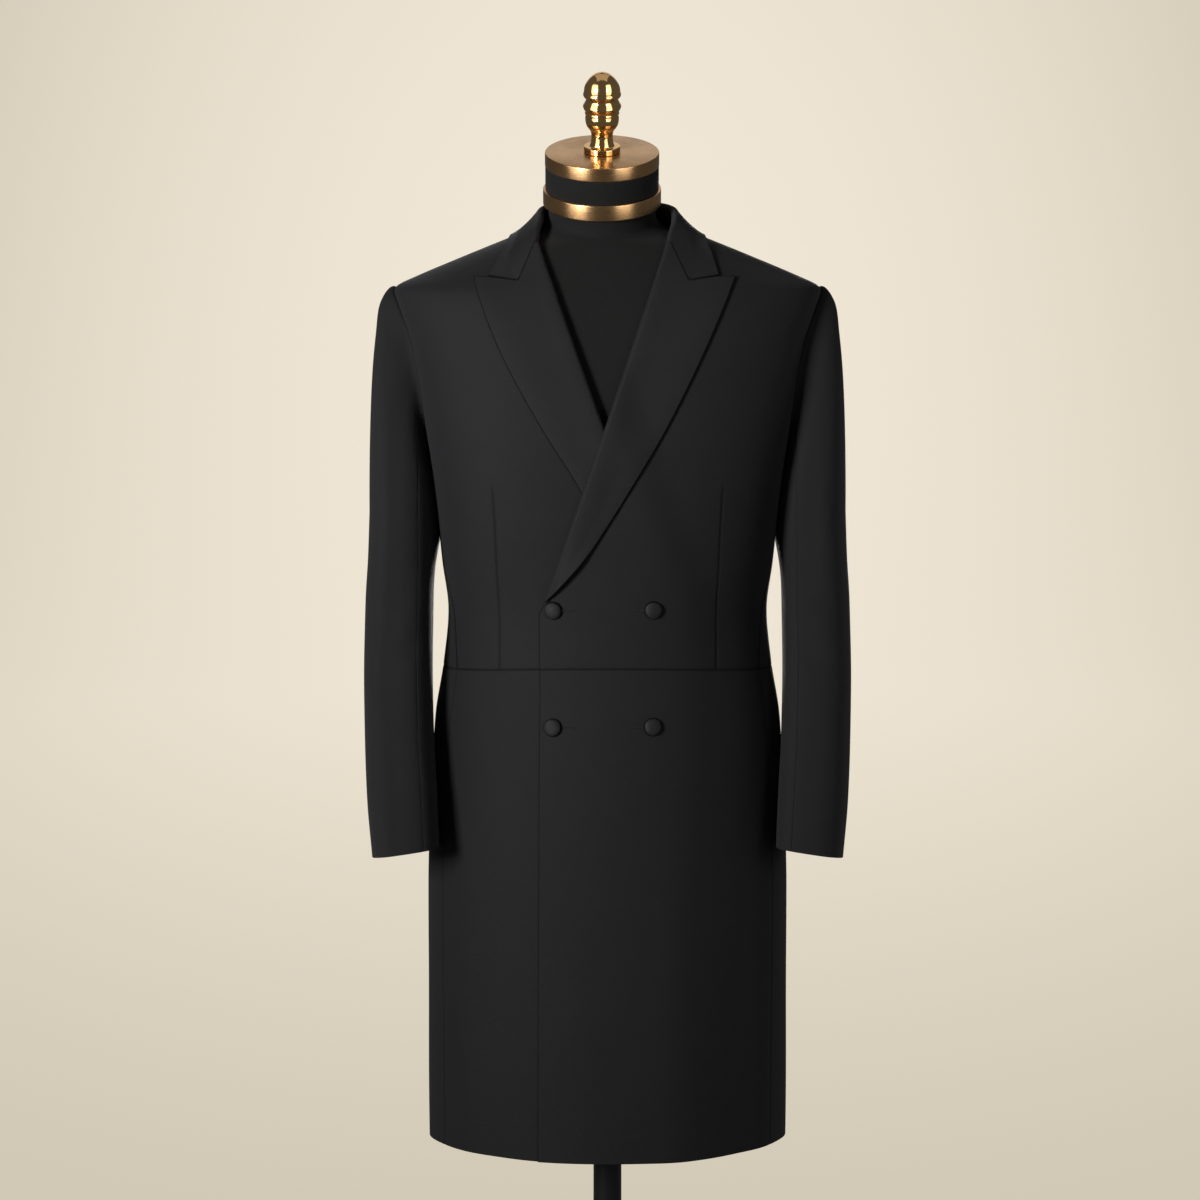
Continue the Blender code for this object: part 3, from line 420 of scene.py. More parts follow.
def clothWall(name, node, outer, inner, uv, shade, finish=wool, underShade=None, held="draped",
              restsOn=("form_torso",)):
    # a closed wall of cloth between two grids, its rim rounded off and its inside lined
    if underShade is None:
        underShade = shade
    rows, columns = outer.shape[:2]
    i, j = rows // 2, columns // 2
    across, along = outer[i, j + 1] - outer[i, j], outer[i + 1, j] - outer[i, j]
    outwards = np.dot(np.cross(across, along), outer[i, j] - inner[i, j]) > 0
    count = rows * columns
    faces = [gridFaces(rows, columns, 0, not outwards), gridFaces(rows, columns, count, outwards)]
    loop = rimLoop(rows, columns)
    ids = np.array([i * columns + j for i, j in loop])
    after = np.roll(ids, -1)
    rimQuads = np.stack([ids, ids + count, after + count, after], axis=-1)
    faces.append(rimQuads if outwards else rimQuads[:, ::-1])
    kinds = np.concatenate([np.full(len(f), k) for f, k in zip(faces, (0, 1, 0))])
    faces = np.concatenate(faces)
    mesh = bpy.data.meshes.new(name)
    verts = np.concatenate([outer.reshape(-1, 3), inner.reshape(-1, 3)])
    mesh.from_pydata(verts.tolist(), [], faces.tolist())
    layer = mesh.uv_layers.new(name="clothMetres")
    flat = np.concatenate([uv.reshape(-1, 2)] * 2)[faces.reshape(-1)]
    layer.data.foreach_set("uv", flat.astype(np.float32).reshape(-1))
    # each vertex's painted shade, on the outer face and on the hidden one
    darkness = mesh.attributes.new("seamShade", "FLOAT", "POINT")
    darkness.data.foreach_set("value", np.concatenate([shade.ravel(), underShade.ravel()]).astype(np.float32))
    mesh.materials.append(finish)
    mesh.materials.append(liningSatin)
    mesh.polygons.foreach_set("material_index", kinds.astype(np.int32))
    mesh.shade_smooth()
    obj = bpy.data.objects.new(name, mesh)
    edge = obj.modifiers.new("roundedRim", "BEVEL")
    edge.width = cut["rimRound"]
    edge.segments = 2
    edge.limit_method = "ANGLE"
    edge.angle_limit = radians(cut["rimAngle"])
    edge.use_clamp_overlap = True
    showPiece(obj, node)
    width = float(arcLengths(outer, 1)[:, -1].max())
    length = float(arcLengths(outer, 0)[-1].max())
    cells = np.cross(outer[1:, 1:] - outer[:-1, :-1], outer[1:, :-1] - outer[:-1, 1:])
    area = float(np.linalg.norm(cells, axis=-1).sum() / 2)
    area = min(max(area, 0.3 * width * length), width * length)
    print(f"{name}: cut {width * 100:.0f} x {length * 100:.0f} cm, {area:.3f} m2")
    return obj


def clustered(count, length):
    near = np.array(cut["edgeColumns"]) / length
    middle = np.linspace(near[-1], 1 - near[-1], count)[1:-1]
    return np.concatenate([[0], near, middle, 1 - near[::-1], [1]])


def acrossPanel(length, marks=()):
    # shares across each row of a panel, close together at its edges and at the marks
    near = [np.zeros_like(length)] + [d / length for d in cut["edgeColumns"]]
    anchors = near + list(marks) + [1 - n for n in near[::-1]]
    shares = []
    for a, b in zip(anchors, anchors[1:]):
        count = max(1, round(float(((b - a) * length).max()) / cut["columnStep"]))
        s = np.linspace(0, 1, count, endpoint=False)
        shares.append(a[:, None] * (1 - s) + b[:, None] * s)
    return np.concatenate(shares + [anchors[-1][:, None]], axis=1)


def rowLength(innerTurn, innerZ, outerTurn, outerZ):
    s = np.linspace(0, 1, 13)
    turn = innerTurn[:, None] * (1 - s) + outerTurn[:, None] * s
    z = innerZ[:, None] * (1 - s) + outerZ[:, None] * s
    return arcLengths(bodyPoint(turn, z), 1)[:, -1]


def seamTurn(z, turn):
    # the angle that half a seam gap takes at this place on the body
    step = 1e-3
    reach = np.linalg.norm(bodyPoint(turn + step, z) - bodyPoint(turn - step, z), axis=-1)
    return cut["seamGap"] * step / reach


def edgeShare(points, sides, width):
    # how near each point is to the named edges of its panel: inner, outer, low and high
    along, across = arcLengths(points, 0), arcLengths(points, 1)
    distance = {
        "inner": across,
        "outer": across[:, -1:] - across,
        "low": along,
        "high": along[-1:] - along,
    }
    near = np.zeros(points.shape[:2])
    for side, share in sides.items():
        near = np.maximum(near, share * bump(distance[side], width))
    return near


def turnedUnder(inner, column, reach=cut["edgeUnder"]):
    # the hidden face reaches a little further, so a free edge lies on a thin strip of it, which the callers
    # darken with painted shade
    beside = 1 if column == 0 else -2
    inner = inner.copy()
    inner[:, column] += unit(inner[:, column] - inner[:, beside]) * reach
    return inner


def bodyPiece(name, node, turn, z, lift, side, seams, freeColumn=None, dart=0.0, **more):
    # the two sides have their own folds, so each is worked out at its own turns and not mirrored
    points = bodyPoint(turn, z)
    dip = cut["seamDip"] * edgeShare(points, seams, cut["seamDipWidth"]) + frontCut["dartDepth"] * dart
    # painted shade darkens the colour along the seams and darts, and beside the armhole above the side seam's
    # top
    shade = np.maximum(edgeShare(points, seams, cut["shadeWidth"]), dart * frontCut["dartShade"])
    besideArm = edgeShare(points, dict(outer=1), cut["armholeShadeWidth"] * armholeCut["bodyShadeShare"])
    shade = np.maximum(shade, besideArm * ease((z - sideSeamTopZ) / armholeCut["shadeRise"]))
    outer, inner = onBody(turn * side, z, lift - dip), onBody(turn * side, z, lift - cut["cloth"])
    uv = np.stack([turn * cut["uvRadius"], z], axis=-1)
    underShade = shade.copy()
    for edge, column in (("inner", 0), ("outer", -1)):
        # sewn edges meet on the hidden face, so no light comes through the seam
        if edge in seams:
            inner = turnedUnder(inner, column, cut["seamGap"] / 2 + cut["seamLap"])
    if freeColumn is not None:
        inner = turnedUnder(inner, freeColumn)
        # the free edge and the strip of hidden face beyond it are darkened with painted shade
        shade[:, freeColumn], underShade[:, freeColumn] = cut["edgeShade"], 1
    return clothWall(name, node, outer, inner, uv, shade, underShade=underShade, **more)


frontCut = {
    "edgeX": -0.0732,
    "hemEdgeX": -0.0762,
    "breakX": -0.0690,
    "breakZ": 1.0995,
    "edgeBend": 0.014,
    "rollZ": (1.0995, 1.2900, 1.4895),
    "rollX": {1: (-0.0690, -0.0035, 0.0645), -1: (-0.0690, 0.0035, 0.0755)},
    "rollRadius": 0.0042,
    "rollStart": 0.006,
    "lapelEndReach": 0.085,
    "lapFlat": 0.006,
    "lapFall": 0.050,
    "dartZ": (1.020, 1.080, 1.124, 1.190, 1.232),
    "dartX": (0.1195, 0.1195, 0.1215, 0.1240, 0.1265),
    "dartDepth": 0.0007,
    "dartWidth": 0.0011,
    "dartShade": 0.6,
    "dartFade": 0.012,
    "dartColumns": (-0.0060, -0.0030, -0.0014, -0.0005, 0.0, 0.0005, 0.0014, 0.0030, 0.0060),
}
armholeCut = {
    "middleZ": 1.3432,
    "halfHeight": 0.0982,
    "turn": radians(90),
    "sag": radians(3),
    "frontReach": radians(19),
    "backReach": radians(22),
    "sideSeamPsi": radians(150),
    "skirtSeamTurn": radians(64),
    "bodyShadeShare": 0.7,
    "shadeRise": 0.01,
}
# steps up a panel's edges: where the waist seam's curve has faded, the break and the side seam's top,
# then the neckline's start and the shoulder, in front and behind
panelSteps = {"waist": 3, "break": 2, "sideSeam": 8, "frontNeck": 14, "front": 18, "backNeck": 16, "back": 22}
# the coat sits a few millimetres askew, so each side has its own roll line
# side is 1 for the wearer's left and -1 for the right
rollX = {side: smoothCurve(frontCut["rollZ"], row) for side, row in frontCut["rollX"].items()}
rollTopX = {side: row[-1] for side, row in frontCut["rollX"].items()}
rollTopZ = frontCut["rollZ"][-1]
dartX = smoothCurve(frontCut["dartZ"], frontCut["dartX"])


def frontEdgeX(z, side):
    breakZ, breakX = frontCut["breakZ"], frontCut["breakX"]
    edgeX, hemX = frontCut["edgeX"], frontCut["hemEdgeX"]
    below = edgeX + (hemX - edgeX) * (breakZ - z) / (breakZ - cut["hemZ"])
    nearBreak = breakX + (below - breakX) * ease((breakZ - z) / frontCut["edgeBend"])
    return np.where(z > breakZ, rollX[side](z), nearBreak)


def roundNeck(share, startX, startZ, sideZ, backZ):
    ahead = np.clip(share / cut["neckPointShare"], 0, 1)
    behind = np.clip((share - cut["neckPointShare"]) / (1 - cut["neckPointShare"]), 0, 1)
    z = startZ + (sideZ - startZ) * ahead
    x = startX + (bodyCurve["halfWidth"](sideZ) - startX) * ahead
    return turnAt(x, z) + behind * pi / 2, z + (backZ - sideZ) * behind


def neckline(share, side):
    topZ = cut["neckPointZ"]
    return roundNeck(share, rollTopX[side] + frontCut["rollRadius"], rollTopZ, topZ, topZ)


def armhole(psi):
    # psi is 0 at the shoulder, a quarter turn at the front and half a turn under the arm
    sag = armholeCut["sag"] * (1 - np.cos(psi)) / 2
    reach = np.where(np.sin(psi) > 0, armholeCut["frontReach"], armholeCut["backReach"])
    turn = armholeCut["turn"] + sag - reach * np.sin(psi)
    return turn, armholeCut["middleZ"] + armholeCut["halfHeight"] * np.cos(psi)


sideSeamTopTurn, sideSeamTopZ = armhole(np.array(armholeCut["sideSeamPsi"]))


def sideSeamTurn(z):
    down = np.clip((sideSeamTopZ - z) / (sideSeamTopZ - cut["waistSeamZ"]), 0, 1)
    return sideSeamTopTurn + (armholeCut["skirtSeamTurn"] - sideSeamTopTurn) * ease(down * 0.5) * 2


def overLift(x, z):
    # how far the left front lies off the body, over the right front and the lower end of its lapel
    hiddenEdge = -frontEdgeX(z, -1)
    layers = cut["layer"] * (1 + ease((z - frontCut["breakZ"]) / frontCut["lapelEndReach"] + 1))
    return layers * (1 - ease((x - hiddenEdge - frontCut["lapFlat"]) / frontCut["lapFall"]))


def sideEdge(v, psiEnd):
    # the outer edge: up the side seam, then round the armhole to the shoulder
    seamTop = panelSteps["sideSeam"]
    seamZ = cut["waistSeamZ"] + np.clip(v / seamTop, 0, 1) * (sideSeamTopZ - cut["waistSeamZ"])
    armTurn, armZ = armhole(np.interp(v, (seamTop, v[-1]), (armholeCut["sideSeamPsi"], psiEnd)))
    return np.where(v <= seamTop, sideSeamTurn(seamZ), armTurn), np.where(v <= seamTop, seamZ, armZ)


def panelGrid(v, innerTurn, innerZ, psiEnd, seamSide, marks=None):
    outerTurn, outerZ = sideEdge(v, psiEnd)
    length = rowLength(innerTurn, innerZ, outerTurn, outerZ)
    share = acrossPanel(length, marks(innerTurn, innerZ, outerTurn, outerZ, length) if marks else ())
    turn = innerTurn[:, None] + (outerTurn - innerTurn)[:, None] * share
    z = innerZ[:, None] + (outerZ - innerZ)[:, None] * share
    low = waistSeam(turn[0]) + cut["seamGap"] / 2
    z = z + (low - z[0]) * ease(1 - v / panelSteps["waist"])[:, None]
    seams = np.zeros_like(turn)
    seams[v <= panelSteps["sideSeam"], -1] = 1
    seams[-1] = 1
    return turn - seamSide * seamTurn(z, turn) * seams, z


def dartShares(innerTurn, innerZ, outerTurn, outerZ, length):
    # one column of the grid runs down the dart, and above it the share stays as it was at the dart's top
    share = np.full_like(innerTurn, 0.6)
    span = np.maximum(outerTurn - innerTurn, 0.1)
    for _ in range(30):
        z = innerZ + (outerZ - innerZ) * share
        share = np.clip((turnAt(dartX(z), z) - innerTurn) / span, 0.3, 0.8)
    top = int(np.argmax(z > frontCut["dartZ"][-1] + frontCut["dartFade"]))
    share[top:] = share[top]
    return [share + away / length for away in frontCut["dartColumns"]]


def frontGrid(side):
    neck, top = panelSteps["frontNeck"], panelSteps["front"]
    v = top * clustered(cut["panelRows"], cut["panelLength"])
    breakZ, start = frontCut["breakZ"], frontCut["rollStart"]
    innerZ = np.interp(v, (0, panelSteps["break"], neck), (waistSeam(0.0), breakZ, rollTopZ))
    setBack = frontCut["rollRadius"] * ease((innerZ - breakZ + start) / (2 * start))
    innerTurn = turnAt(frontEdgeX(innerZ, side) + setBack, innerZ)
    neckTurn, neckZ = neckline(np.clip((v - neck) / (top - neck), 0, 1) * cut["neckPointShare"], side)
    innerTurn, innerZ = np.where(v > neck, neckTurn, innerTurn), np.where(v > neck, neckZ, innerZ)
    return panelGrid(v, innerTurn, innerZ, 0.0, 1, dartShares)


def backGrid():
    neck, top = panelSteps["backNeck"], panelSteps["back"]
    v = top * clustered(cut["panelRows"], cut["panelLength"])
    heights = cut["waistSeamZ"], cut["backMiddleZ"], cut["neckPointZ"]
    innerZ = np.interp(v, (0, panelSteps["sideSeam"], neck), heights)
    innerTurn = pi - seamTurn(innerZ, pi)
    neckTurn, neckZ = neckline(1 - np.clip((v - neck) / (top - neck), 0, 1) * (1 - cut["neckPointShare"]), 1)
    innerTurn, innerZ = np.where(v > neck, neckTurn, innerTurn), np.where(v > neck, neckZ, innerZ)
    return panelGrid(v, innerTurn, innerZ, 2 * pi, -1)


def dartShare(x, z):
    fade = ease((frontCut["dartZ"][-1] - z) / frontCut["dartFade"])
    return bump(x - dartX(z), frontCut["dartWidth"]) * fade


seams = dict(outer=1, low=0.6, high=1)
turn, z = frontGrid(1)
x = bodyPoint(turn, z)[..., 0]
bodyPiece("leftFrontCloth", "front_left", turn, z, overLift(x, z), 1, seams, 0, dartShare(x, z))
turn, z = frontGrid(-1)
x = bodyPoint(turn, z)[..., 0]
bodyPiece("rightFrontCloth", "front_right", turn, z, 0, -1, seams, None, dartShare(x, z))
turn, z = backGrid()
seams = dict(inner=1, outer=1, low=0.6, high=1)
for side, word in ((1, "left"), (-1, "right")):
    bodyPiece(f"{word}BackCloth", f"back_{word}", turn, z, 0, side, seams)
print("fronts and backs sewn")


skirtCut = {
    "ventLap": 0.040,
    "ventFlat": 0.004,
    "ventFall": 0.045,
    "centreReach": 0.002,
    "length": 0.54,
    "rows": 78,
}


def skirtGrid(startTurn, endTurn):
    share = clustered(skirtCut["rows"], skirtCut["length"])
    level = cut["waistSeamZ"] + (cut["hemZ"] - cut["waistSeamZ"]) * share
    start, end = startTurn(level), endTurn(level)
    across = acrossPanel(rowLength(start, level, end, level))
    turn = start[:, None] + (end - start)[:, None] * across
    top = waistSeam(turn[0]) - cut["seamGap"] / 2
    z = level[:, None] + (top - cut["waistSeamZ"]) * (1 - share)[:, None]
    return turn, z


def skirtSeam(offset):
    seam = armholeCut["skirtSeamTurn"]
    return lambda level: seam + offset * seamTurn(level, seam)


def centreBack(reach):
    return lambda level: pi + reach / bodyCurve["halfWidth"](level)


# rows of the skirts run down from the waist seam, so low is their sewn edge and high the hem
sewn = dict(outer=0.4, low=0.6)
turn, z = skirtGrid(lambda level: turnAt(frontEdgeX(level, 1), level), skirtSeam(-1))
x = bodyPoint(turn, z)[..., 0]
bodyPiece("leftFrontSkirt", "skirt_front_left", turn, z, overLift(x, z), 1, sewn, 0, held="hung")
bodyPiece("rightFrontSkirt", "skirt_front_right", turn, z, 0, -1, sewn, held="hung")
sewn = dict(inner=0.4, low=0.6)
turn, z = skirtGrid(skirtSeam(1), centreBack(skirtCut["centreReach"]))
x = bodyPoint(turn, z)[..., 0]
lap = cut["layer"] * (1 - ease((x - skirtCut["ventLap"] - skirtCut["ventFlat"]) / skirtCut["ventFall"]))
bodyPiece("leftBackSkirt", "skirt_back_left", turn, z, lap, 1, sewn, -1, held="hung")
turn, z = skirtGrid(skirtSeam(1), centreBack(skirtCut["ventLap"]))
bodyPiece("rightBackSkirt", "skirt_back_right", turn, z, 0, -1, sewn, held="hung")
print("skirts hung")


lapelCut = {
    "edgeZ": (1.4525, 1.4180, 1.3690, 1.3200, 1.2785, 1.2390, 1.1832, 1.1418, 1.1155, 1.0995),
    "edgeX": {
        1: (0.1388, 0.1242, 0.1022, 0.0780, 0.0560, 0.0318, -0.0028, -0.0318, -0.0545, -0.0690),
        -1: (0.1460, 0.1347, 0.1140, 0.0877, 0.0630, 0.0375, 0.0060, -0.0241, -0.0480, -0.0690),
    },
    "gorge": {1: (0.0880, 1.4488), -1: (0.0975, 1.4485)},
    "collarCorner": {1: (0.1212, 1.4530), -1: (0.1300, 1.4522)},
    "gorgeShares": (0, 0.5, 0.75, 1),
    "gorgePullFrom": 0.70,
    "foot": 0.007,
    "endLift": 0.0042,
    "endLiftShare": 0.09,
    "endLiftSpread": 0.085,
    "rows": 120,
    "length": 0.40,
    "columns": 26,
    "width": 0.09,
    "belly": 0.0014,
    "edgeLift": 0.0012,
    "edgeLiftFrom": 0.15,
    "edgeLiftTo": 0.10,
    "rollArc": (-60, 80),
    "rollSteps": 14,
    "rollPuff": 0.0026,
    "rollPuffWidth": 0.016,
}
lapelEdgeX = {side: smoothCurve(lapelCut["edgeZ"], row) for side, row in lapelCut["edgeX"].items()}


def gorgeLine(across, side):
    gorge, corner = lapelCut["gorge"][side], lapelCut["collarCorner"][side]
    xs = [rollTopX[side] + frontCut["rollRadius"], gorge[0], corner[0], lapelCut["edgeX"][side][0]]
    zs = [rollTopZ, gorge[1], corner[1], lapelCut["edgeZ"][0]]
    return np.interp(across, lapelCut["gorgeShares"], xs), np.interp(across, lapelCut["gorgeShares"], zs)


def lapelLeaf(side):
    across = clustered(lapelCut["columns"], lapelCut["width"])
    down = clustered(lapelCut["rows"], lapelCut["length"])[:, None]
    along = lapelCut["foot"] + (1 - lapelCut["foot"]) * down
    breakZ = frontCut["breakZ"]
    creaseZ = breakZ + (rollTopZ - breakZ) * along
    edgeZ = breakZ + (lapelCut["edgeZ"][0] - breakZ) * along
    creaseX, edgeX = rollX[side](creaseZ) + frontCut["rollRadius"], lapelEdgeX[side](edgeZ)
    x, z = creaseX + (edgeX - creaseX) * across, creaseZ + (edgeZ - creaseZ) * across
    topX, topZ = gorgeLine(across, side)
    pull = ease((along - lapelCut["gorgePullFrom"]) / (1 - lapelCut["gorgePullFrom"]))
    return x + (topX - x[-1]) * pull, z + (topZ - z[-1]) * pull, across, along


def lapelFaces(underLift, side):
    x, z, across, along = lapelLeaf(side)
    turn = turnAt(x, z)
    middle = np.sin(pi * np.clip(along, 0, 1)) ** 0.5
    fromCrease = np.hypot(x - x[:, :1], z - z[:, :1])
    puff = lapelCut["rollPuff"] * bump(fromCrease, lapelCut["rollPuffWidth"]) * middle
    belly = lapelCut["belly"] * np.sin(pi * across) * middle
    curl = lapelCut["edgeLift"] * ease(across * 2 - 1) * ease(along / lapelCut["edgeLiftFrom"])
    curl = curl * ease((1 - along) / lapelCut["edgeLiftTo"] + 0.3)
    nearEnd = bump(along - lapelCut["endLiftShare"], lapelCut["endLiftSpread"])
    standOff = (side > 0) * lapelCut["endLift"] * across * nearEnd
    lift = underLift(x, z) + cut["layer"] + puff + belly + curl + standOff
    leaf = onBody(turn, z, lift), onBody(turn, z, lift - cut["cloth"])
    normal = bodyNormal(turn[:, 0], z[:, 0])
    upwards = unit(np.gradient(leaf[0][:, 0], axis=0))
    outwards = unit(np.cross(normal, upwards))
    radius = frontCut["rollRadius"]
    centre = leaf[0][:, 0] - normal * radius
    angles = np.radians(np.linspace(*lapelCut["rollArc"], lapelCut["rollSteps"]))
    faces = []
    for r, face in zip((radius, radius - cut["cloth"]), leaf):
        arc = [centre + r * (normal * sin(a) + outwards * cos(a)) for a in angles]
        faces.append(np.concatenate([np.stack(arc, axis=1), face], axis=1))
    return faces


def lapelPiece(name, node, underLift, side):
    outer, inner = lapelFaces(underLift, side)
    across, along = arcLengths(outer, 1), arcLengths(outer, 0)
    uv = np.stack([across[:, -1:] - across, along], axis=-1)
    flip = np.array([side, 1, 1])
    front = "front_left" if side > 0 else "front_right"
    # painted shade along the lapel's gorge and its free edge, darkest on the strip of hidden face beyond that
    # edge
    shade = edgeShare(outer, dict(high=1), cut["shadeWidth"])
    underShade = shade.copy()
    shade[:, -1], underShade[:, -1] = cut["edgeShade"], 1
    clothWall(name, node, outer * flip, turnedUnder(inner, -1) * flip, uv, shade, lapelWool, underShade,
              held="folded", restsOn=(front,))


lapelPiece("leftLapelLeaf", "lapel_left", overLift, 1)
lapelPiece("rightLapelLeaf", "lapel_right", lambda x, z: 0, -1)
print("lapels rolled")


collarCut = {
    "creaseShare": (0, 0.20, 0.40, 0.70, 1.00, 1.30),
    "creaseX": (0.0730, 0.0750, 0.0745, 0.0530, 0.0000, -0.0530),
    "creaseY": (-0.0600, -0.0330, 0.0020, 0.0560, 0.0760, 0.0560),
    "creaseZ": (1.4905, 1.5130, 1.5275, 1.5345, 1.5360, 1.5345),
    "edgeZ": 1.4965,
    "backEdgeZ": 1.4940,
    "notchOpening": 0.0012,
    "frontShare": 0.30,
    "gorgeShare": 0.12,
    "cornerShare": 0.6,
    "leafFalloff": 1.8,
    "standGap": 0.0005,
    "standSetIn": 0.0013,
    "standAngle": radians(180),
    "standLean": radians(10),
    "leafAngle": radians(35),
    "leafLean": radians(55),
    "footAngle": radians(35),
    "endReach": 1.5,
    "rows": 64,
    "firstShares": (0, 0.004, 0.009, 0.016),
    "standSteps": 4,
    "arcSteps": 10,
    "leafSteps": 18,
    "lastShares": (0.965, 0.985, 1),
}


def collarHalf(side):
    c = collarCut
    share = np.concatenate([c["firstShares"], np.linspace(0.026, 1, c["rows"])])[:, None]
    front = 1 - ease(share / c["frontShare"])
    footTurn, footZ = neckline(share, side)
    cornerX, cornerZ = lapelCut["collarCorner"][side]
    edgeTurn, edgeZ = roundNeck(share, cornerX, cornerZ + c["notchOpening"], c["edgeZ"], c["backEdgeZ"])
    start = onBody(footTurn, footZ, cut["layer"])[:, 0]
    rows = [smoothCurve(c["creaseShare"], c[axis]) for axis in ("creaseX", "creaseY", "creaseZ")]
    crease = np.stack([row(share[:, 0]) for row in rows], axis=-1)
    crease += (start[0] - crease[0]) * front
    along = unit(np.gradient(crease, share[:, 0], axis=0))
    along[-1] = (-1, 0, 0)
    near = rollTopZ + np.array([-0.004, 0])
    nearTurn = turnAt(rollX[side](near) + frontCut["rollRadius"], near)
    rollDirection = unit(np.diff(onBody(nearTurn, near, cut["layer"]), axis=0))
    along = unit(along * (1 - front) + rollDirection * front)
    upwards = unit(np.array([0, 0, 1]) * (1 - front) + bodyNormal(footTurn, footZ)[:, 0] * front)
    outwards = unit(np.cross(along, upwards))
    upwards = np.cross(outwards, along)
    radius = frontCut["rollRadius"]
    centre = crease - upwards * radius

    def roundCrease(angle):
        return centre + radius * (outwards * np.cos(angle) + upwards * np.sin(angle))

    standAngle = c["standAngle"] + c["standLean"] * front
    leafAngle = c["leafAngle"] + c["leafLean"] * front
    steps = c["arcSteps"]
    arc = [roundCrease(standAngle + (leafAngle - standAngle) * k / steps) for k in range(steps + 1)]
    low = c["footAngle"]
    foot = bodyPoint(footTurn, footZ)[:, 0] + upwards * c["standGap"] - outwards * c["standSetIn"]
    foot = foot * (1 - front) + roundCrease(standAngle + low) * front
    stand = []
    for k in range(c["standSteps"]):
        s = k / c["standSteps"]
        straight = foot * (1 - s) + arc[0] * s
        stand.append(straight * (1 - front) + roundCrease(standAngle + low * (1 - s)) * front)
    leaf = []
    for out in np.concatenate([np.linspace(0, 1, c["leafSteps"] + 1)[1:-1], c["lastShares"]]):
        turn = footTurn + (edgeTurn - footTurn) * out
        z = footZ + (edgeZ - footZ) * out
        across = np.interp(out, (0, c["cornerShare"], 1), lapelCut["gorgeShares"][:3])
        gorgeX, gorgeZ = gorgeLine(across, side)
        rise = np.interp(out, (c["cornerShare"], 1), (cut["seamGap"], c["notchOpening"]))
        onGorge = ease(1 - share / c["gorgeShare"])
        gorgeTurn = turnAt(gorgeX, gorgeZ + rise)
        turn = turn + (gorgeTurn - turn[0]) * onGorge
        z = z + (gorgeZ + rise - z[0]) * onGorge
        lean = (arc[-1] - start) * (1 - out) ** c["leafFalloff"]
        leaf.append(onBody(turn, z, cut["layer"])[:, 0] + lean)
    half = np.stack([*stand, *arc, *leaf], axis=1)
    half[0, : len(stand) + len(arc)] += along[0] * cut["seamGap"] * c["endReach"]
    return half


def thickened(outer):
    across, along = np.gradient(outer, axis=1), np.gradient(outer, axis=0)
    return outer - unit(np.cross(across, along)) * cut["cloth"]


outer = np.concatenate([collarHalf(1), collarHalf(-1)[-2::-1] * (-1, 1, 1)])
across, along = arcLengths(outer, 1), arcLengths(outer, 0)
uv = np.stack([across[:, -1:] - across, along], axis=-1)
# painted shade at both ends of the collar, not on its stand and roll, and along its free edge, darkest on the
# strip of hidden face beyond it
shade = edgeShare(outer, dict(low=0.9, high=0.9), cut["shadeWidth"])
shade[:, : collarCut["standSteps"] + collarCut["arcSteps"]] = 0
underShade = shade.copy()
shade[:, -1], underShade[:, -1] = cut["edgeShade"], 1
clothWall("collarLeaf", "collar", outer, turnedUnder(thickened(outer), -1), uv, shade, lapelWool, underShade,
          held="folded", restsOn=("back_left", "back_right"))
print("collar set")


sleeveCut = {
    "height": (1.190, 1.136, 1.090, 1.021, 0.950, 0.880, 0.8165),
    "outerX": (0.2672, 0.2695, 0.2720, 0.2732, 0.2715, 0.2680, 0.2615),
    "innerX": (0.1962, 0.1957, 0.1962, 0.1968, 0.1950, 0.1908, 0.1875),
    "middleY": (0.002, 0.001, -0.004, -0.019, -0.042, -0.065, -0.084),
    "halfDepth": (0.0705, 0.0700, 0.0690, 0.0665, 0.0625, 0.0580, 0.0540),
    "cuffSideSlope": 0.151,
    "cuffPitch": 0.12,
    "headReach": 0.0195,
    "underarmReach": 0.008,
    "headPull": 0.745,
    "armholeGap": 0.0008,
    "hindSeam": -105,
    "foreSeam": 120,
    "seamDip": 0.0002,
    "headSeamDip": 0.0006,
    "followBody": 0.55,
    "innerFullness": 1.3,
    "topColumns": 76,
    "underColumns": 46,
    "headShares": (0, 0.012, 0.028, 0.05),
    "headFrom": 0.08,
    "headRows": 40,
    "armRows": 62,
    "armTo": 0.97,
    "cuffShares": (0.985, 0.993, 0.9965, 1),
}
sleeveCurve = curvesOver(sleeveCut, ("outerX", "innerX", "middleY", "halfDepth"))
# soft folds of the sleeve: psi and its breadth in degrees, height and its breadth, slant and depth
sleeveFolds = {
    "frontElbow": dict(psi=70, spread=34, z=1.085, tall=0.016, slant=0.030, depth=-0.0016),
    "underElbow": dict(psi=110, spread=30, z=1.045, tall=0.014, slant=0.035, depth=-0.0014),
    "forearm": dict(psi=60, spread=30, z=0.985, tall=0.018, slant=-0.020, depth=0.0010),
    "upperArm": dict(psi=50, spread=36, z=1.180, tall=0.030, slant=0.045, depth=-0.0010),
    "headRound": dict(psi=0, spread=50, z=1.420, tall=0.020, slant=0.0, depth=0.0026),
    "underarm": dict(psi=192, spread=34, z=1.172, tall=0.036, slant=0.0, depth=0.0085),
    "underarmTop": dict(psi=192, spread=46, z=1.234, tall=0.030, slant=0.0, depth=0.0046),
}


def squarer(share, power):
    return np.sign(share) * np.abs(share) ** power


